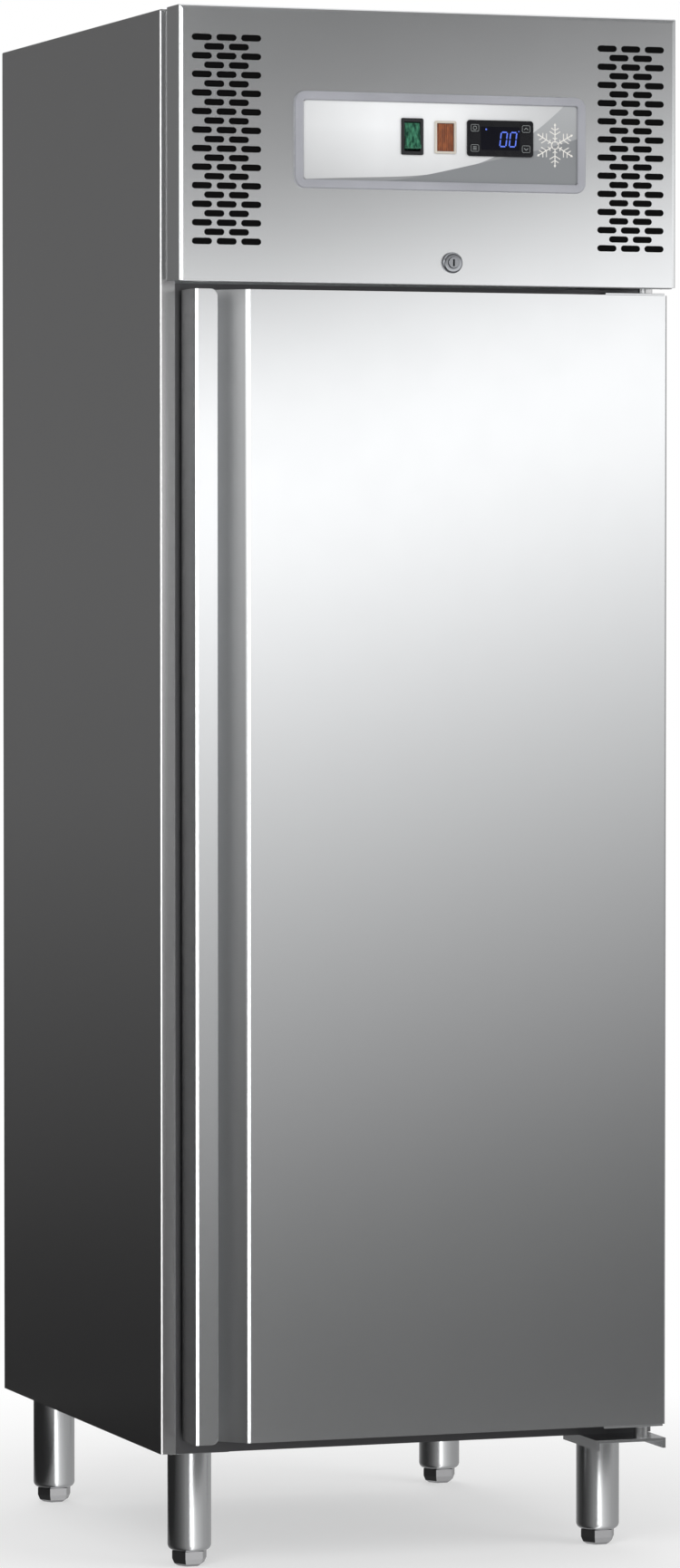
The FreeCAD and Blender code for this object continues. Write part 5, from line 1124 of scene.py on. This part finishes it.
@dataclass
class Fascia:
    """Fascia pan: a pierced sheet with bent sides and top, a bottom flange, black sheets of painted shade
    behind the vents, and lugs.
    """

    half: float = 0.340
    low: float = 1.659
    high: float = 2.010
    front: float = -0.396
    back: float = -0.346
    bend: float = 0.0022
    band: float = 0.0035
    corner: float = 0.0015
    sheet: float = 0.001
    flange: float = 0.012
    hem: float = 0.0016
    slot_length: float = 0.027
    slot_height: float = 0.0083
    slot_pitch: float = 0.033
    row_pitch: float = 0.01175
    rows: int = 23
    group_x: float = 0.2765
    top_row: float = 1.969
    lock: tuple[float, float, float] = (0.029, 1.688, 0.0098)
    pivot: tuple[float, float] = (-0.354, 2.000)
    lug_radii: tuple[float, float] = (0.0041, 0.008)
    lug_x: tuple[float, float] = (0.3365, 0.339)
    openings: list[tuple[float, float, float, float]] = field(
        default_factory=lambda: [
            (-0.0265, 1.849, 0.0256, 0.0376),
            (0.019, 1.849, 0.0261, 0.0386),
            (0.094, 1.849, 0.0846, 0.0401),
        ]
    )

    def slots(self) -> Array:
        """Middles of all vent slots: full rows of three, and rows of two half a pitch between."""
        row = np.arange(self.rows)
        full = np.array([(i, place) for i in row[::2] for place in (-1.0, 0.0, 1.0)])
        short = np.array([(i, place) for i in row[1::2] for place in (-0.5, 0.5)])
        both = np.concatenate([full, short])
        x = both[:, 1] * self.slot_pitch
        z = self.top_row - both[:, 0] * self.row_pitch
        return np.concatenate([np.stack([x + side * self.group_x, z], -1) for side in (-1, 1)])

    def slot_outline(self, facets: int = 7) -> Array:
        """One slot about its middle: two half circles joined by straight sides."""
        angle = np.linspace(-math.pi / 2, math.pi / 2, facets)
        end = np.stack([np.cos(angle), np.sin(angle)], -1) * self.slot_height / 2
        end[:, 0] += (self.slot_length - self.slot_height) / 2
        return np.concatenate([end, -end])

    def front_sheet(self) -> tuple[Array, Array]:
        """Triangles of the flat front, with the slots, the openings and the lock's hole left out.

        The holes' edges constrain a Delaunay triangulation, and a triangle is dropped where its
        middle lies in a hole.

        Returns:
            The points, and three indices for each triangle.
        """
        reach = self.rim_line()[0][-1]
        edge, top, low = self.half - reach, self.high - reach, self.low + self.hem
        loops = [np.array([[-edge, low], [edge, low], [edge, top], [-edge, top]])]
        slots = self.slots()
        loops += list(slots[:, None] + self.slot_outline())
        for x, z, width, height in self.openings:
            loops.append(np.array([x, z]) + rounded_rectangle(width, height, 0.0008, 2))
        angle = np.arange(32) * 2 * math.pi / 32
        x, z, radius = self.lock
        loops.append(np.stack([x + radius * np.cos(angle), z + radius * np.sin(angle)], -1))
        points = np.concatenate(loops)
        starts = np.cumsum([0] + [len(loop) for loop in loops])
        edges = [
            (first + i, first + (i + 1) % (last - first))
            for first, last in zip(starts, starts[1:])
            for i in range(last - first)
        ]
        result = delaunay_2d_cdt([Vector(point) for point in points.tolist()], edges, [], 0, 1e-7)
        flat = np.array([tuple(point) for point in result[0]])
        triangles = np.array(result[2])
        middle = flat[triangles].mean(1)
        along = np.abs(middle[:, None] - slots[None])
        straight = (self.slot_length - self.slot_height) / 2
        reach = np.hypot(np.maximum(along[..., 0] - straight, 0), along[..., 1])
        hole = (reach < self.slot_height / 2 * 0.985).any(1)
        for x0, z0, width, height in self.openings:
            hole |= (np.abs(middle[:, 0] - x0) < width / 2) & (np.abs(middle[:, 1] - z0) < height / 2)
        hole |= np.hypot(middle[:, 0] - x, middle[:, 1] - z) < radius * 0.99
        return np.insert(flat, 1, self.front, axis=1), triangles[~hole]

    def rim_line(self) -> tuple[Array, Array]:
        """How far the bent rim lies in from the side, and its y.

        An arc of 78 degrees leads from the side to a narrow band at 12 degrees to the front.

        Returns:
            The insets and the depths, from the back to the flat front.
        """
        turn = np.radians(np.linspace(0, 78, 7))
        inset = self.bend * (1 - np.cos(turn))
        depth = self.front + self.band * EDGE_TILT + self.bend * (np.sin(turn[-1]) - np.sin(turn))
        return (
            np.concatenate([[0.0], inset, [inset[-1] + self.band]]),
            np.concatenate([[self.back], depth, [self.front]]),
        )

    def rim(self) -> Patch:
        """Bent sides and top: an arch drawn in and forward along the rim's line."""
        rows = []
        for step, y in zip(*self.rim_line()):
            edge, top = self.half - step, self.high - step
            low = self.low + self.hem
            arch = np.array([[-edge, low], [-edge, top], [edge, top], [edge, low]])
            radius = max(self.corner - step, 1e-5)
            rows.append(np.insert(bent_path(arch, [0, radius, radius, 0]), 1, y, axis=1))
        return Patch(np.stack(rows))

    def mats(self) -> None:
        """A thin black sheet behind each field of slots, as painted shade: a rectangle with soft corners,
        carried back.
        """
        rise = (self.rows - 1) * self.row_pitch
        size = (2 * self.slot_pitch + self.slot_length + 0.012, rise + 0.02)
        levels = [(0.0, self.front + 0.0012), (0.0, self.front + 0.004)]
        patches = []
        for side in (-1, 1):
            rings = front_rings((side * self.group_x, self.top_row - rise / 2), size, 0.004, levels)
            patches.append(Patch(rings, wrap_columns=True, caps=True))
        Piece("vent_shade_sheets", Body.FASCIA, Slot.BLACK_PLASTIC, Finishes.felt).mesh(patches)

    def build(self) -> None:
        """Builds the pan from its front sheet, rim and flange, the black sheets of painted shade behind its
        vents and its two hinge lugs.
        """
        self.mats()
        points, triangles = self.front_sheet()
        rim = self.rim()
        edge = self.half - self.rim_line()[0][-1]
        turn = np.linspace(0, math.pi / 2, 6)
        depth = np.append(self.front + self.hem * (1 - np.cos(turn)), self.front + self.flange)
        height = np.append(self.low + self.hem * (1 - np.sin(turn)), self.low)
        strip = np.array([[[x, y, z] for x in (-edge, edge)] for y, z in zip(depth, height)])
        all_points, faces = [points], triangles.tolist()
        for patch in (rim, Patch(strip)):
            start = sum(len(part) for part in all_points)
            faces += [[index + start for index in face] for face in patch.faces()]
            all_points.append(patch.points.reshape(-1, 3))
        pan = Piece("fascia_pan", Body.FASCIA, Slot.STAINLESS, Finishes.front, ("fascia_panel",))
        thicken(pan.from_faces(np.concatenate(all_points), faces, (0.0, -1.0, 0.0)), self.sheet)
        (inner, outer), (near, far) = self.lug_radii, self.lug_x
        ring = np.array([[inner, far], [outer, far], [outer, near], [inner, near]])
        lugs = []
        for sign in (-1, 1):
            grid = turned(ring * [1, sign], self.pivot, 32)
            lugs.append(Patch(grid[..., [2, 0, 1]], wrap_rows=True, wrap_columns=True))
        Piece("fascia_lugs", Body.FASCIA, Slot.STAINLESS, Finishes.front).mesh(lugs)


@dataclass
class Controls:
    """Control frame: bezel, printed plate, switch, lamp, controller, digits and key signs."""

    middle: tuple[float, float] = (0.0135, 1.842)
    size: tuple[float, float] = (0.398, 0.124)
    band: float = 0.0115
    corner: float = 0.014
    sheet_face: float = -0.396
    bezel_face: float = -0.401
    plate_face: float = -0.398
    flange_face: float = -0.400
    row: float = 1.849
    switch_x: float = -0.0265
    lamp_x: float = 0.019
    controller_x: float = 0.094
    key_offset: tuple[float, float] = (0.0353, 0.013)
    key_size: tuple[float, float] = (0.0112, 0.0092)
    key_proud: float = 0.0008

    def bezel(self) -> None:
        """A closed section carried round the rounded rectangle: soft outside, round inside edge."""
        turn = np.linspace(0, math.pi / 2, 6)
        soft = 0.0022
        early, late = soft * (1 - np.cos(turn)), soft * (1 - np.sin(turn))
        outer = np.stack([early, self.bezel_face + late], -1)
        inner = np.stack([self.band - late, self.bezel_face + early], -1)
        levels = [(0.0, self.sheet_face), *outer, *inner, (self.band, self.sheet_face)]
        grid = front_rings(self.middle, self.size, self.corner, levels, 10)
        piece = Piece("bezel_frame", Body.FASCIA, Slot.BEZEL, Finishes.bezel, ("control_bezel",))
        piece.mesh([Patch(grid, wrap_rows=True, wrap_columns=True)])

    def crystal(self) -> None:
        """A six-armed crystal: an arm is a bar with three pairs of twigs and a diamond at its end."""
        reach, x, z = 0.0262, 0.1703, 1.842
        arm = [bar(np.array([0.0045, 0.0]), np.array([reach, 0.0]), 0.0007)]
        for place, twig in ((0.3, 0.0035), (0.52, 0.0085), (0.74, 0.006)):
            for side in (-1, 1):
                start = np.array([reach * place, 0.0])
                lean = np.array([math.cos(1.05), side * math.sin(1.05)]) * twig
                arm.append(bar(start, start + lean, 0.0006))
        tip = np.array([[-0.0022, 0.0], [0.0, -0.0017], [0.0026, 0.0], [0.0, 0.0017]]) + [reach, 0.0]
        arm.append(tip)
        shapes = []
        six = np.arange(6) * math.pi / 3
        for turn in six + math.pi / 6:
            spin = np.array([[math.cos(turn), math.sin(turn)], [-math.sin(turn), math.cos(turn)]])
            shapes += [shape @ spin + [x, z] for shape in arm]
        ring = np.stack([np.cos(six), np.sin(six)], -1) * 0.0052 + [x, z]
        shapes += [bar(a, b, 0.0006) for a, b in zip(ring, np.roll(ring, -1, 0))]
        patches = raised_signs(shapes, self.plate_face)
        Piece("plate_crystal", Body.FASCIA, Slot.PRINT_PLATE, Finishes.crystal).mesh(patches)

    def digits(self) -> None:
        """Two noughts of seven-part digits, leaning right, with a running dot and a degree ring."""
        wide, tall, half, lean = 0.0042, 0.0092, 0.00085, 0.12
        right = np.array([[wide, tall], [wide, 0], [wide, -tall]])
        corners = np.concatenate([[[-wide, tall]], right, [[-wide, -tall], [-wide, 0]]])
        shapes = []
        for x in (0.0985, 0.1115):
            for start, end in zip(corners, np.roll(corners, -1, 0)):
                gap = (end - start) / np.linalg.norm(end - start) * 0.0008
                part = bar(start + gap, end - gap, half)
                part[:, 0] += lean * part[:, 1]
                shapes.append(part + [x, self.row - 0.001])
        angle = np.arange(12) * math.pi / 6
        dot = np.stack([np.cos(angle), np.sin(angle)], -1)
        shapes += [dot * 0.0012 + [0.0745, 1.8605], dot * 0.0008 + [0.1195, 1.8585]]
        patches = raised_signs(shapes, self.flange_face)
        Piece("display_digits", Body.FASCIA, Slot.DARK_WINDOW, Finishes.digits).mesh(patches)

    def key_sign(self, name: str, body: Body, x: float, z: float, shapes: list[Array]) -> None:
        """Puts a thin rounded outline and a sign on one key.

        Args:
            name: the key's node.
            body: the body it presses with.
            x: the key's middle across.
            z: the key's middle up.
            shapes: the sign's flat shapes about that middle.
        """
        face = self.flange_face - self.key_proud
        levels = [(0.0, face), (0.0, face - SIGN), (0.0005, face - SIGN), (0.0005, face)]
        rings = front_rings((x, z), self.key_size, 0.0018, levels, 4)
        outline = Patch(rings, wrap_rows=True, wrap_columns=True)
        signs = raised_signs([shape + [x, z] for shape in shapes], face)
        Piece(f"{name}_sign", body, Slot.GREY_PLASTIC, Finishes.signs).mesh([outline, *signs])

    def keys(self) -> None:
        """The four keys' signs: a chevron up and down, a ring and three short bars."""
        ends = np.array([[-0.0028, -0.0012], [0.0, 0.0014], [0.0028, -0.0012]])
        up = [bar(ends[0], ends[1], 0.0004), bar(ends[1], ends[2], 0.0004)]
        down = [shape * [1, -1] for shape in up]
        ring = rounded_rectangle(0.0046, 0.0046, 0.0023, 5)
        sides = zip(ring, np.roll(ring, -1, 0))
        hoop = [bar(start, end, 0.0003) for start, end in sides if np.linalg.norm(end - start) > 1e-4]
        line = bar(np.array([-0.0025, 0.0]), np.array([0.0025, 0.0]), 0.00035)
        lines = [line + [0.0, height] for height in (-0.0018, 0.0, 0.0018)]
        aside, apart = self.key_offset
        left, right = self.controller_x - aside, self.controller_x + aside
        self.key_sign("key_set", Body.SET_KEY, left, self.row + apart, hoop)
        self.key_sign("key_menu", Body.MENU_KEY, left, self.row - apart, lines)
        self.key_sign("key_up", Body.UP_KEY, right, self.row + apart, up)
        self.key_sign("key_down", Body.DOWN_KEY, right, self.row - apart, down)

    def lens(self) -> None:
        """The lamp's lens: a front whose depth follows the cosine of x, in a plain box behind."""
        half_x, half_z, ribs = 0.01175, 0.018, 11
        x = np.linspace(-half_x, half_x, ribs * 8 + 1)
        ridge = 0.00035 * (1 - np.cos(x / half_x * ribs * math.pi)) / 2
        edge = np.minimum(1.0, (half_x - np.abs(x)) / 0.0006)
        rows = []
        for z, sink in ((-half_z, 0.0008), (-half_z + 0.0006, 0.0), (half_z - 0.0006, 0.0), (half_z, 0.0008)):
            depth = self.plate_face + 0.0008 * (1 - edge) + ridge + sink * edge
            rows.append(np.stack([x + self.lamp_x, depth, np.full_like(x, z + self.row)], -1))
        front = np.stack(rows)
        behind = front.copy()
        behind[..., 1] = self.plate_face + 0.004
        skirt_low, skirt_high = (np.stack([front[end], behind[end]]) for end in (0, -1))
        sides = [np.stack([front[:, end], behind[:, end]]) for end in (0, -1)]
        patches = [Patch(grid) for grid in (front, behind, skirt_low, skirt_high, *sides)]
        lens = Piece("lamp_lens", Body.FASCIA, Slot.ORANGE_LENS, Finishes.orange, ("pilot_lens",), 50.0)
        lens.mesh(patches)

    def build(self) -> None:
        """Builds the bezel, lens, crystal, digits and signs, and rounds the moulded parts."""
        self.bezel()
        self.lens()
        self.crystal()
        self.digits()
        self.keys()
        rounded = (
            ("switch_housing", Body.FASCIA, Slot.BLACK_PLASTIC, Finishes.black, 0.0008),
            ("power_rocker", Body.ROCKER, Slot.GREEN_ROCKER, Finishes.green, 0.0007),
            ("pilot_frame", Body.FASCIA, Slot.CREAM_PLASTIC, Finishes.cream, 0.0009),
            ("controller_case", Body.FASCIA, Slot.BLACK_PLASTIC, Finishes.case, 0.0006),
        )
        bodies = (Body.SET_KEY, Body.MENU_KEY, Body.UP_KEY, Body.DOWN_KEY)
        keys = tuple(
            (f"key_{body.value.removesuffix('_key')}", body, Slot.BLACK_PLASTIC, Finishes.case, 0.0005)
            for body in bodies
        )
        for node, body, slot, finish, width in rounded + keys:
            Piece(f"{node}_rounded", body, slot, finish).softened(node, width)


@dataclass
class Lock:
    """Cam lock: a domed rim and a turning plug with its keyway."""

    x: float = 0.029
    z: float = 1.688
    sheet_face: float = -0.396
    rim_face: float = -0.402
    rim: float = 0.0135
    soft: float = 0.003
    bore: float = 0.00705
    chamfer: float = 0.0006
    barrel: float = 0.0095
    barrel_end: float = -0.3725
    nut_radii: tuple[float, float] = (0.0096, 0.013)
    nut_y: tuple[float, float] = (-0.395, -0.390)

    def build(self) -> None:
        """Turns the rim's profile, rounded outside and chamfered at the bore, and its hexagon nut."""
        turn = np.linspace(0, math.pi / 2, 7)
        inset, drop = self.soft * (1 - np.cos(turn)), self.soft * (1 - np.sin(turn))
        outer = np.stack([self.rim - inset, self.rim_face + drop], -1)
        profile = np.concatenate(
            [
                [[self.barrel, self.sheet_face], [self.rim, self.sheet_face]],
                outer,
                [[self.bore + self.chamfer, self.rim_face], [self.bore, self.rim_face + self.chamfer]],
                [[self.bore, self.barrel_end], [self.barrel, self.barrel_end]],
            ]
        )
        (small, large), (near, far) = self.nut_radii, self.nut_y
        nut = np.array([[small, near], [large, near], [large, far], [small, far]])
        turns = ((profile, 48), (nut, 6))
        rings = [turned(line, (self.x, self.z), sides, upright=False) for line, sides in turns]
        piece = Piece("lock_rim", Body.FASCIA, Slot.LOCK_CHROME, Finishes.chrome, ("lock_housing",))
        piece.mesh([Patch(ring, wrap_rows=True, wrap_columns=True) for ring in rings])
        Piece("lock_plug", Body.LOCK, Slot.LOCK_CHROME, Finishes.chrome).softened("lock_plug_and_cam", 0.0003)


@dataclass
class Legs:
    """Four round legs with rolled lower edges and square top plates."""

    x: float = 0.285
    front: float = -0.264
    back: float = 0.346
    radius: float = 0.0285
    low: float = 0.0203
    high: float = 0.151
    top: float = 0.153
    plate: float = 0.084
    roll: float = 0.008
    inside: float = 0.027
    plug: float = 0.025
    bore: float = 0.0081

    def tube(self, x: float, y: float) -> list[Patch]:
        """One leg: its profile goes down the outside, round the roll and in to the foot's bore."""
        turn = np.linspace(0, math.pi / 2, 8)
        inset, rise = self.roll * (1 - np.cos(turn)), self.roll * (1 - np.sin(turn))
        roll = np.stack([self.radius - inset, self.low + rise], -1)
        socket = self.low + self.plug
        tail = [[self.bore, self.low], [self.bore, socket], [self.inside, socket], [self.inside, self.high]]
        profile = np.concatenate([[[self.radius, self.high]], roll, tail])
        plate = rounded_rectangle(self.plate, self.plate, 0.004, 4) + [x, y]
        slab = drawn_up(plate, np.array([self.high, self.top - 0.0004, self.top]))
        slab[2, :, :2] += ([x, y] - slab[2, :, :2]) * 0.01
        shell = turned(profile, (x, y), 48)
        return [Patch(shell, wrap_rows=True, wrap_columns=True), Patch(slab, wrap_columns=True, caps=True)]

    def build(self) -> None:
        """Builds the four legs as one piece."""
        feet = [(x, y) for x in (-self.x, self.x) for y in (self.front, self.back)]
        patches = [patch for x, y in feet for patch in self.tube(x, y)]
        Piece("leg_set", Body.CABINET, Slot.STAINLESS, Finishes.tube, ("leg_tubes",)).mesh(patches)


class Dressing:
    """Finishes of the CAD nodes that keep their own meshes."""

    # The opening frame gets a near-black steel as painted shade.
    special = {"front_frame": Finishes.painted_shade_frame}
    special |= {f"wire_shelf_{number}": Finishes.wire for number in (1, 2, 3)}
    special |= {f"foot_front_{side}": Finishes.foot for side in ("left", "right")}
    special |= {f"foot_back_{side}": Finishes.foot for side in ("left", "right")}

    def dress(self) -> None:
        """Gives every CAD node the finish of its slot, or its own."""
        for name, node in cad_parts.items():
            slot = Slot(node.data.materials[0].name.split(".")[0])
            finish = self.special.get(name, Finishes.by_slot[slot])
            for place in range(len(node.data.materials)):
                node.data.materials[place] = Finishes.material(finish)
            LOG.info("%s: %s", name, finish.name)


# ---------------------------------------------------------------- stage


def seen_directly(sheet: NodeSheet) -> Link:
    """1 for what the camera, a reflection or a glass shows, and 0 for diffuse light."""
    path = sheet.add("ShaderNodeLightPath")
    seen = sheet.math("MAXIMUM", path.outputs["Is Camera Ray"], path.outputs["Is Glossy Ray"])
    return sheet.math("MAXIMUM", seen, path.outputs["Is Transmission Ray"])


def glossy_only(name: str, patch: Patch, read, stops: list[tuple[float, float]]) -> None:
    """Hangs a glowing surface that only reflections see.

    Args:
        name: the surface's name.
        patch: its shape.
        read: given the sheet and the position, gives what the glow follows, from 0 to 1.
        stops: pairs of that value and the glow there.
    """
    material, sheet, place = shade(name)
    ramp = sheet.add("ShaderNodeValToRGB", {0: read(sheet, place)})
    elements = ramp.color_ramp.elements
    peak = max(glow for _, glow in stops)
    elements[1].position = 1.0
    for _ in stops[2:]:
        elements.new(0.5)
    for element, (position, glow) in zip(elements, stops):
        element.position = position
        element.color = (glow / peak, glow / peak, glow / peak, 1.0)
    lamp = sheet.add("ShaderNodeEmission", {"Color": ramp.outputs[0], "Strength": peak})
    sheet.add("ShaderNodeOutputMaterial", {"Surface": lamp.outputs[0]})
    mesh = patch.bare_mesh(name)
    mesh.materials.append(material)
    thing = placed(name, mesh)
    thing.visible_camera = thing.visible_diffuse = thing.visible_shadow = False
    thing.visible_transmission = thing.visible_volume_scatter = False


def even(glow: float) -> list[tuple[float, float]]:
    """The levels of a card that glows alike all over."""
    return [(0.0, glow), (1.0, glow)]


@dataclass
class Card:
    """A soft glowing card, brighter or darker by height."""

    name: str
    corner: Color
    across: Color
    up: Color
    levels: list[tuple[float, float]]
    tilt: float = 0.0
    level_x: float = 0.5
    first_x: float = 0.15

    def height(self, sheet: NodeSheet, place: Link) -> Link:
        """The height less the tilt times x past the level x, over the last level's height.

        Left of the first x the tilt stays as it is there.
        """
        x, _, z = sheet.axes(place)
        level = sheet.math("ADD", z, self.tilt * self.level_x)
        across = sheet.math("MAXIMUM", x, self.first_x)
        height = sheet.math("MULTIPLY_ADD", across, -self.tilt, level)
        return sheet.math("DIVIDE", height, self.levels[-1][0])

    def build(self) -> None:
        """Builds the card as a flat grid and hangs it."""
        corner, across, up = (np.array(part) for part in (self.corner, self.across, self.up))
        share = np.linspace(0, 1, 9)
        grid = corner + share[:, None, None] * up + share[None, :, None] * across
        top = self.levels[-1][0]
        glossy_only(self.name, Patch(grid), self.height, [(z / top, glow) for z, glow in self.levels])


@dataclass
class Drum:
    """A wide round wall about the freezer, brighter or darker by its direction."""

    name: str
    levels: list[tuple[float, float]]
    radius: float = 5.0
    low: float = -3.0
    high: float = 4.5

    @staticmethod
    def turn(sheet: NodeSheet, place: Link) -> Link:
        """The angle from the front towards the left over a full turn, plus a half."""
        x, y, _ = sheet.axes(sheet.stretch(place, (-1.0, -1.0, 1.0)))
        angle = sheet.math("ARCTAN2", x, y)
        return sheet.math("MULTIPLY_ADD", angle, 1 / (2 * math.pi), 0.5)

    def build(self) -> None:
        """Builds the wall and its bottom by turning their line, and hangs them."""
        line = np.array([[0.001, self.low], [self.radius, self.low], [self.radius, self.high]])
        grid = turned(line, (0.0, 0.0), 96)
        stops = [(angle / 360 + 0.5, glow) for angle, glow in self.levels]
        glossy_only(self.name, Patch(grid, wrap_columns=True), self.turn, stops)


@dataclass
class Studio:
    """Floor, world, lamps, cards and camera."""

    eye: Color = (-2.8236, -8.1100, 1.2813)
    pitch: float = 88.155
    heading: float = -19.29
    lens: float = 146.24
    sky: float = 0.45
    shadow: tuple[float, float] = (0.45, 1.5)
    lamp_size: float = 3.0

    def floor(self) -> None:
        """A pale floor that keeps the shadow near the object and fades to white further out."""
        ring = np.array([0.0, 1.0, 2.0, 4.0, 8.0, 40.0])
        grid = turned(np.stack([ring, np.zeros_like(ring)], -1), (0.0, 0.0), 64)
        mesh = Patch(grid, wrap_columns=True).bare_mesh("floor")
        material, sheet, place = shade("pale floor")
        away = sheet.add("ShaderNodeVectorMath", {0: place}, operation="LENGTH").outputs["Value"]
        share = sheet.math("MULTIPLY", sheet.spread(away, *self.shadow, 0.5, 1.0), seen_directly(sheet))
        tone = sheet.blend(sheet.noise(place, 3.0, 2.0), (0.9, 0.9, 0.9), (0.93, 0.93, 0.93))
        matte = sheet.add("ShaderNodeBsdfDiffuse", {"Color": tone})
        white = sheet.add("ShaderNodeEmission", {"Strength": 1.0})
        mix = sheet.add("ShaderNodeMixShader", {0: share, 1: matte.outputs[0], 2: white.outputs[0]})
        sheet.add("ShaderNodeOutputMaterial", {"Surface": mix.outputs[0]})
        mesh.materials.append(material)
        thing = placed("floor", mesh)
        thing.visible_glossy = False

    def world(self) -> None:
        """A white world for the camera, gloss and glass, and a dimmer one for diffuse light."""
        world = bpy.data.worlds.new("studio")
        world.use_nodes = True
        bpy.context.scene.world = world
        sheet = NodeSheet(world.node_tree)
        strength = sheet.math("MULTIPLY_ADD", seen_directly(sheet), 1.0 - self.sky, self.sky)
        sky = sheet.add("ShaderNodeBackground", {"Color": (1.0, 1.0, 1.0, 1.0), "Strength": strength})
        sheet.add("ShaderNodeOutputWorld", {"Surface": sky.outputs[0]})

    def lamp(self, name: str, place: Color, power: float) -> None:
        """Hangs one square soft lamp that looks at the freezer's middle.

        Args:
            name: the lamp's name.
            place: where it hangs.
            power: its power in watts.
        """
        light = bpy.data.lights.new(name, "AREA")
        light.energy, light.size = power, self.lamp_size
        thing = placed(name, light)
        thing.location = place
        thing.rotation_euler = (Vector((0.0, 0.0, 1.0)) - Vector(place)).to_track_quat("-Z", "Y").to_euler()
        thing.visible_glossy = False

    def cards(self) -> None:
        """The cards that the front, the grip, the left side and the edges reflect, and the far wall."""
        front = [
            (0.0, 0.08), (0.38, 0.2), (0.79, 0.49), (1.06, 0.77), (1.33, 1.22), (1.52, 1.6),
            (1.66, 1.35), (1.73, 1.1), (1.79, 0.76), (1.85, 0.42), (1.95, 0.28), (2.2, 0.15), (2.6, 0.1),
        ]
        grip = [(0.0, 0.06), (0.6, 0.28), (1.2, 0.8), (1.8, 1.7), (2.4, 2.1)]
        side = [(0.0, 0.03), (0.22, 0.045), (0.62, 0.1), (0.95, 0.15), (1.3, 0.17), (2.6, 0.17)]
        corner = [(0.0, 0.04), (0.5, 0.08), (1.2, 0.16), (2.0, 0.23), (2.6, 0.25)]
        for card in (
            Card("front card", (-0.35, -1.6, 0.01), (2.2, 0.0, 0.0), (0.0, 0.0, 2.9), front, 0.26),
            Card("front floor card", (-0.35, -1.6, 0.004), (2.2, 0.0, 0.0), (0.0, 0.85, 0.0), even(0.12)),
            Card("grip card", (-1.9, -1.9, 0.01), (0.0, 1.5, 0.0), (0.0, 0.0, 2.6), grip),
            Card("side card", (-3.9, 1.3, 0.01), (3.5, 0.0, 0.0), (0.0, 0.0, 4.4), side),
            Card("side floor card", (-3.9, -0.2, 0.004), (3.5, 0.0, 0.0), (0.0, 1.5, 0.0), even(0.02)),
            Card("corner card", (-1.12, -1.62, 0.01), (0.52, -0.2, 0.0), (0.0, 0.0, 2.6), corner),
            Card("edge light", (-1.15, -4.4, -1.0), (0.75, 0.0, 0.0), (0.0, 0.0, 4.0), even(4.5)),
        ):
            card.build()
        around = [
            (-180, 0.4), (-97, 0.36), (-59, 0.41), (-34, 0.57), (-19, 0.7), (-8, 0.85), (-2, 1.5), (4, 2.0),
            (9, 1.4), (14, 0.5), (20, 0.25), (30, 0.3), (45, 0.2), (60, 0.12), (80, 0.06), (103, 0.03),
            (130, 0.05), (160, 0.15), (180, 0.4),
        ]
        Drum("far wall", around).build()

    def camera(self) -> None:
        """The camera at the photograph's angle."""
        camera = bpy.data.cameras.new("camera")
        camera.lens, camera.sensor_width, camera.sensor_fit = self.lens, 36.0, "AUTO"
        thing = placed("camera", camera)
        thing.location = self.eye
        thing.rotation_euler = (math.radians(self.pitch), 0.0, math.radians(self.heading))
        bpy.context.scene.camera = thing

    def build(self) -> None:
        """Builds the whole stage."""
        bpy.context.scene.view_settings.view_transform = "Standard"
        self.floor()
        self.world()
        self.cards()
        self.lamp("key", (-3.0, -4.5, 4.2), 130.0)
        self.lamp("fill", (3.8, -4.0, 2.8), 85.0)
        self.lamp("back", (0.5, 4.5, 4.0), 80.0)
        self.camera()


def main() -> None:
    """Builds every piece in order, dresses the CAD nodes and sets the stage."""
    logging.basicConfig(level=logging.INFO, format="%(name)s: %(message)s")
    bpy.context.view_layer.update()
    Dressing().dress()
    for assembly in (Cabinet(), Door(), Fascia(), Controls(), Lock(), Legs()):
        LOG.info("building %s", type(assembly).__name__)
        assembly.build()
    Studio().build()


if __name__ == "__main__":
    main()
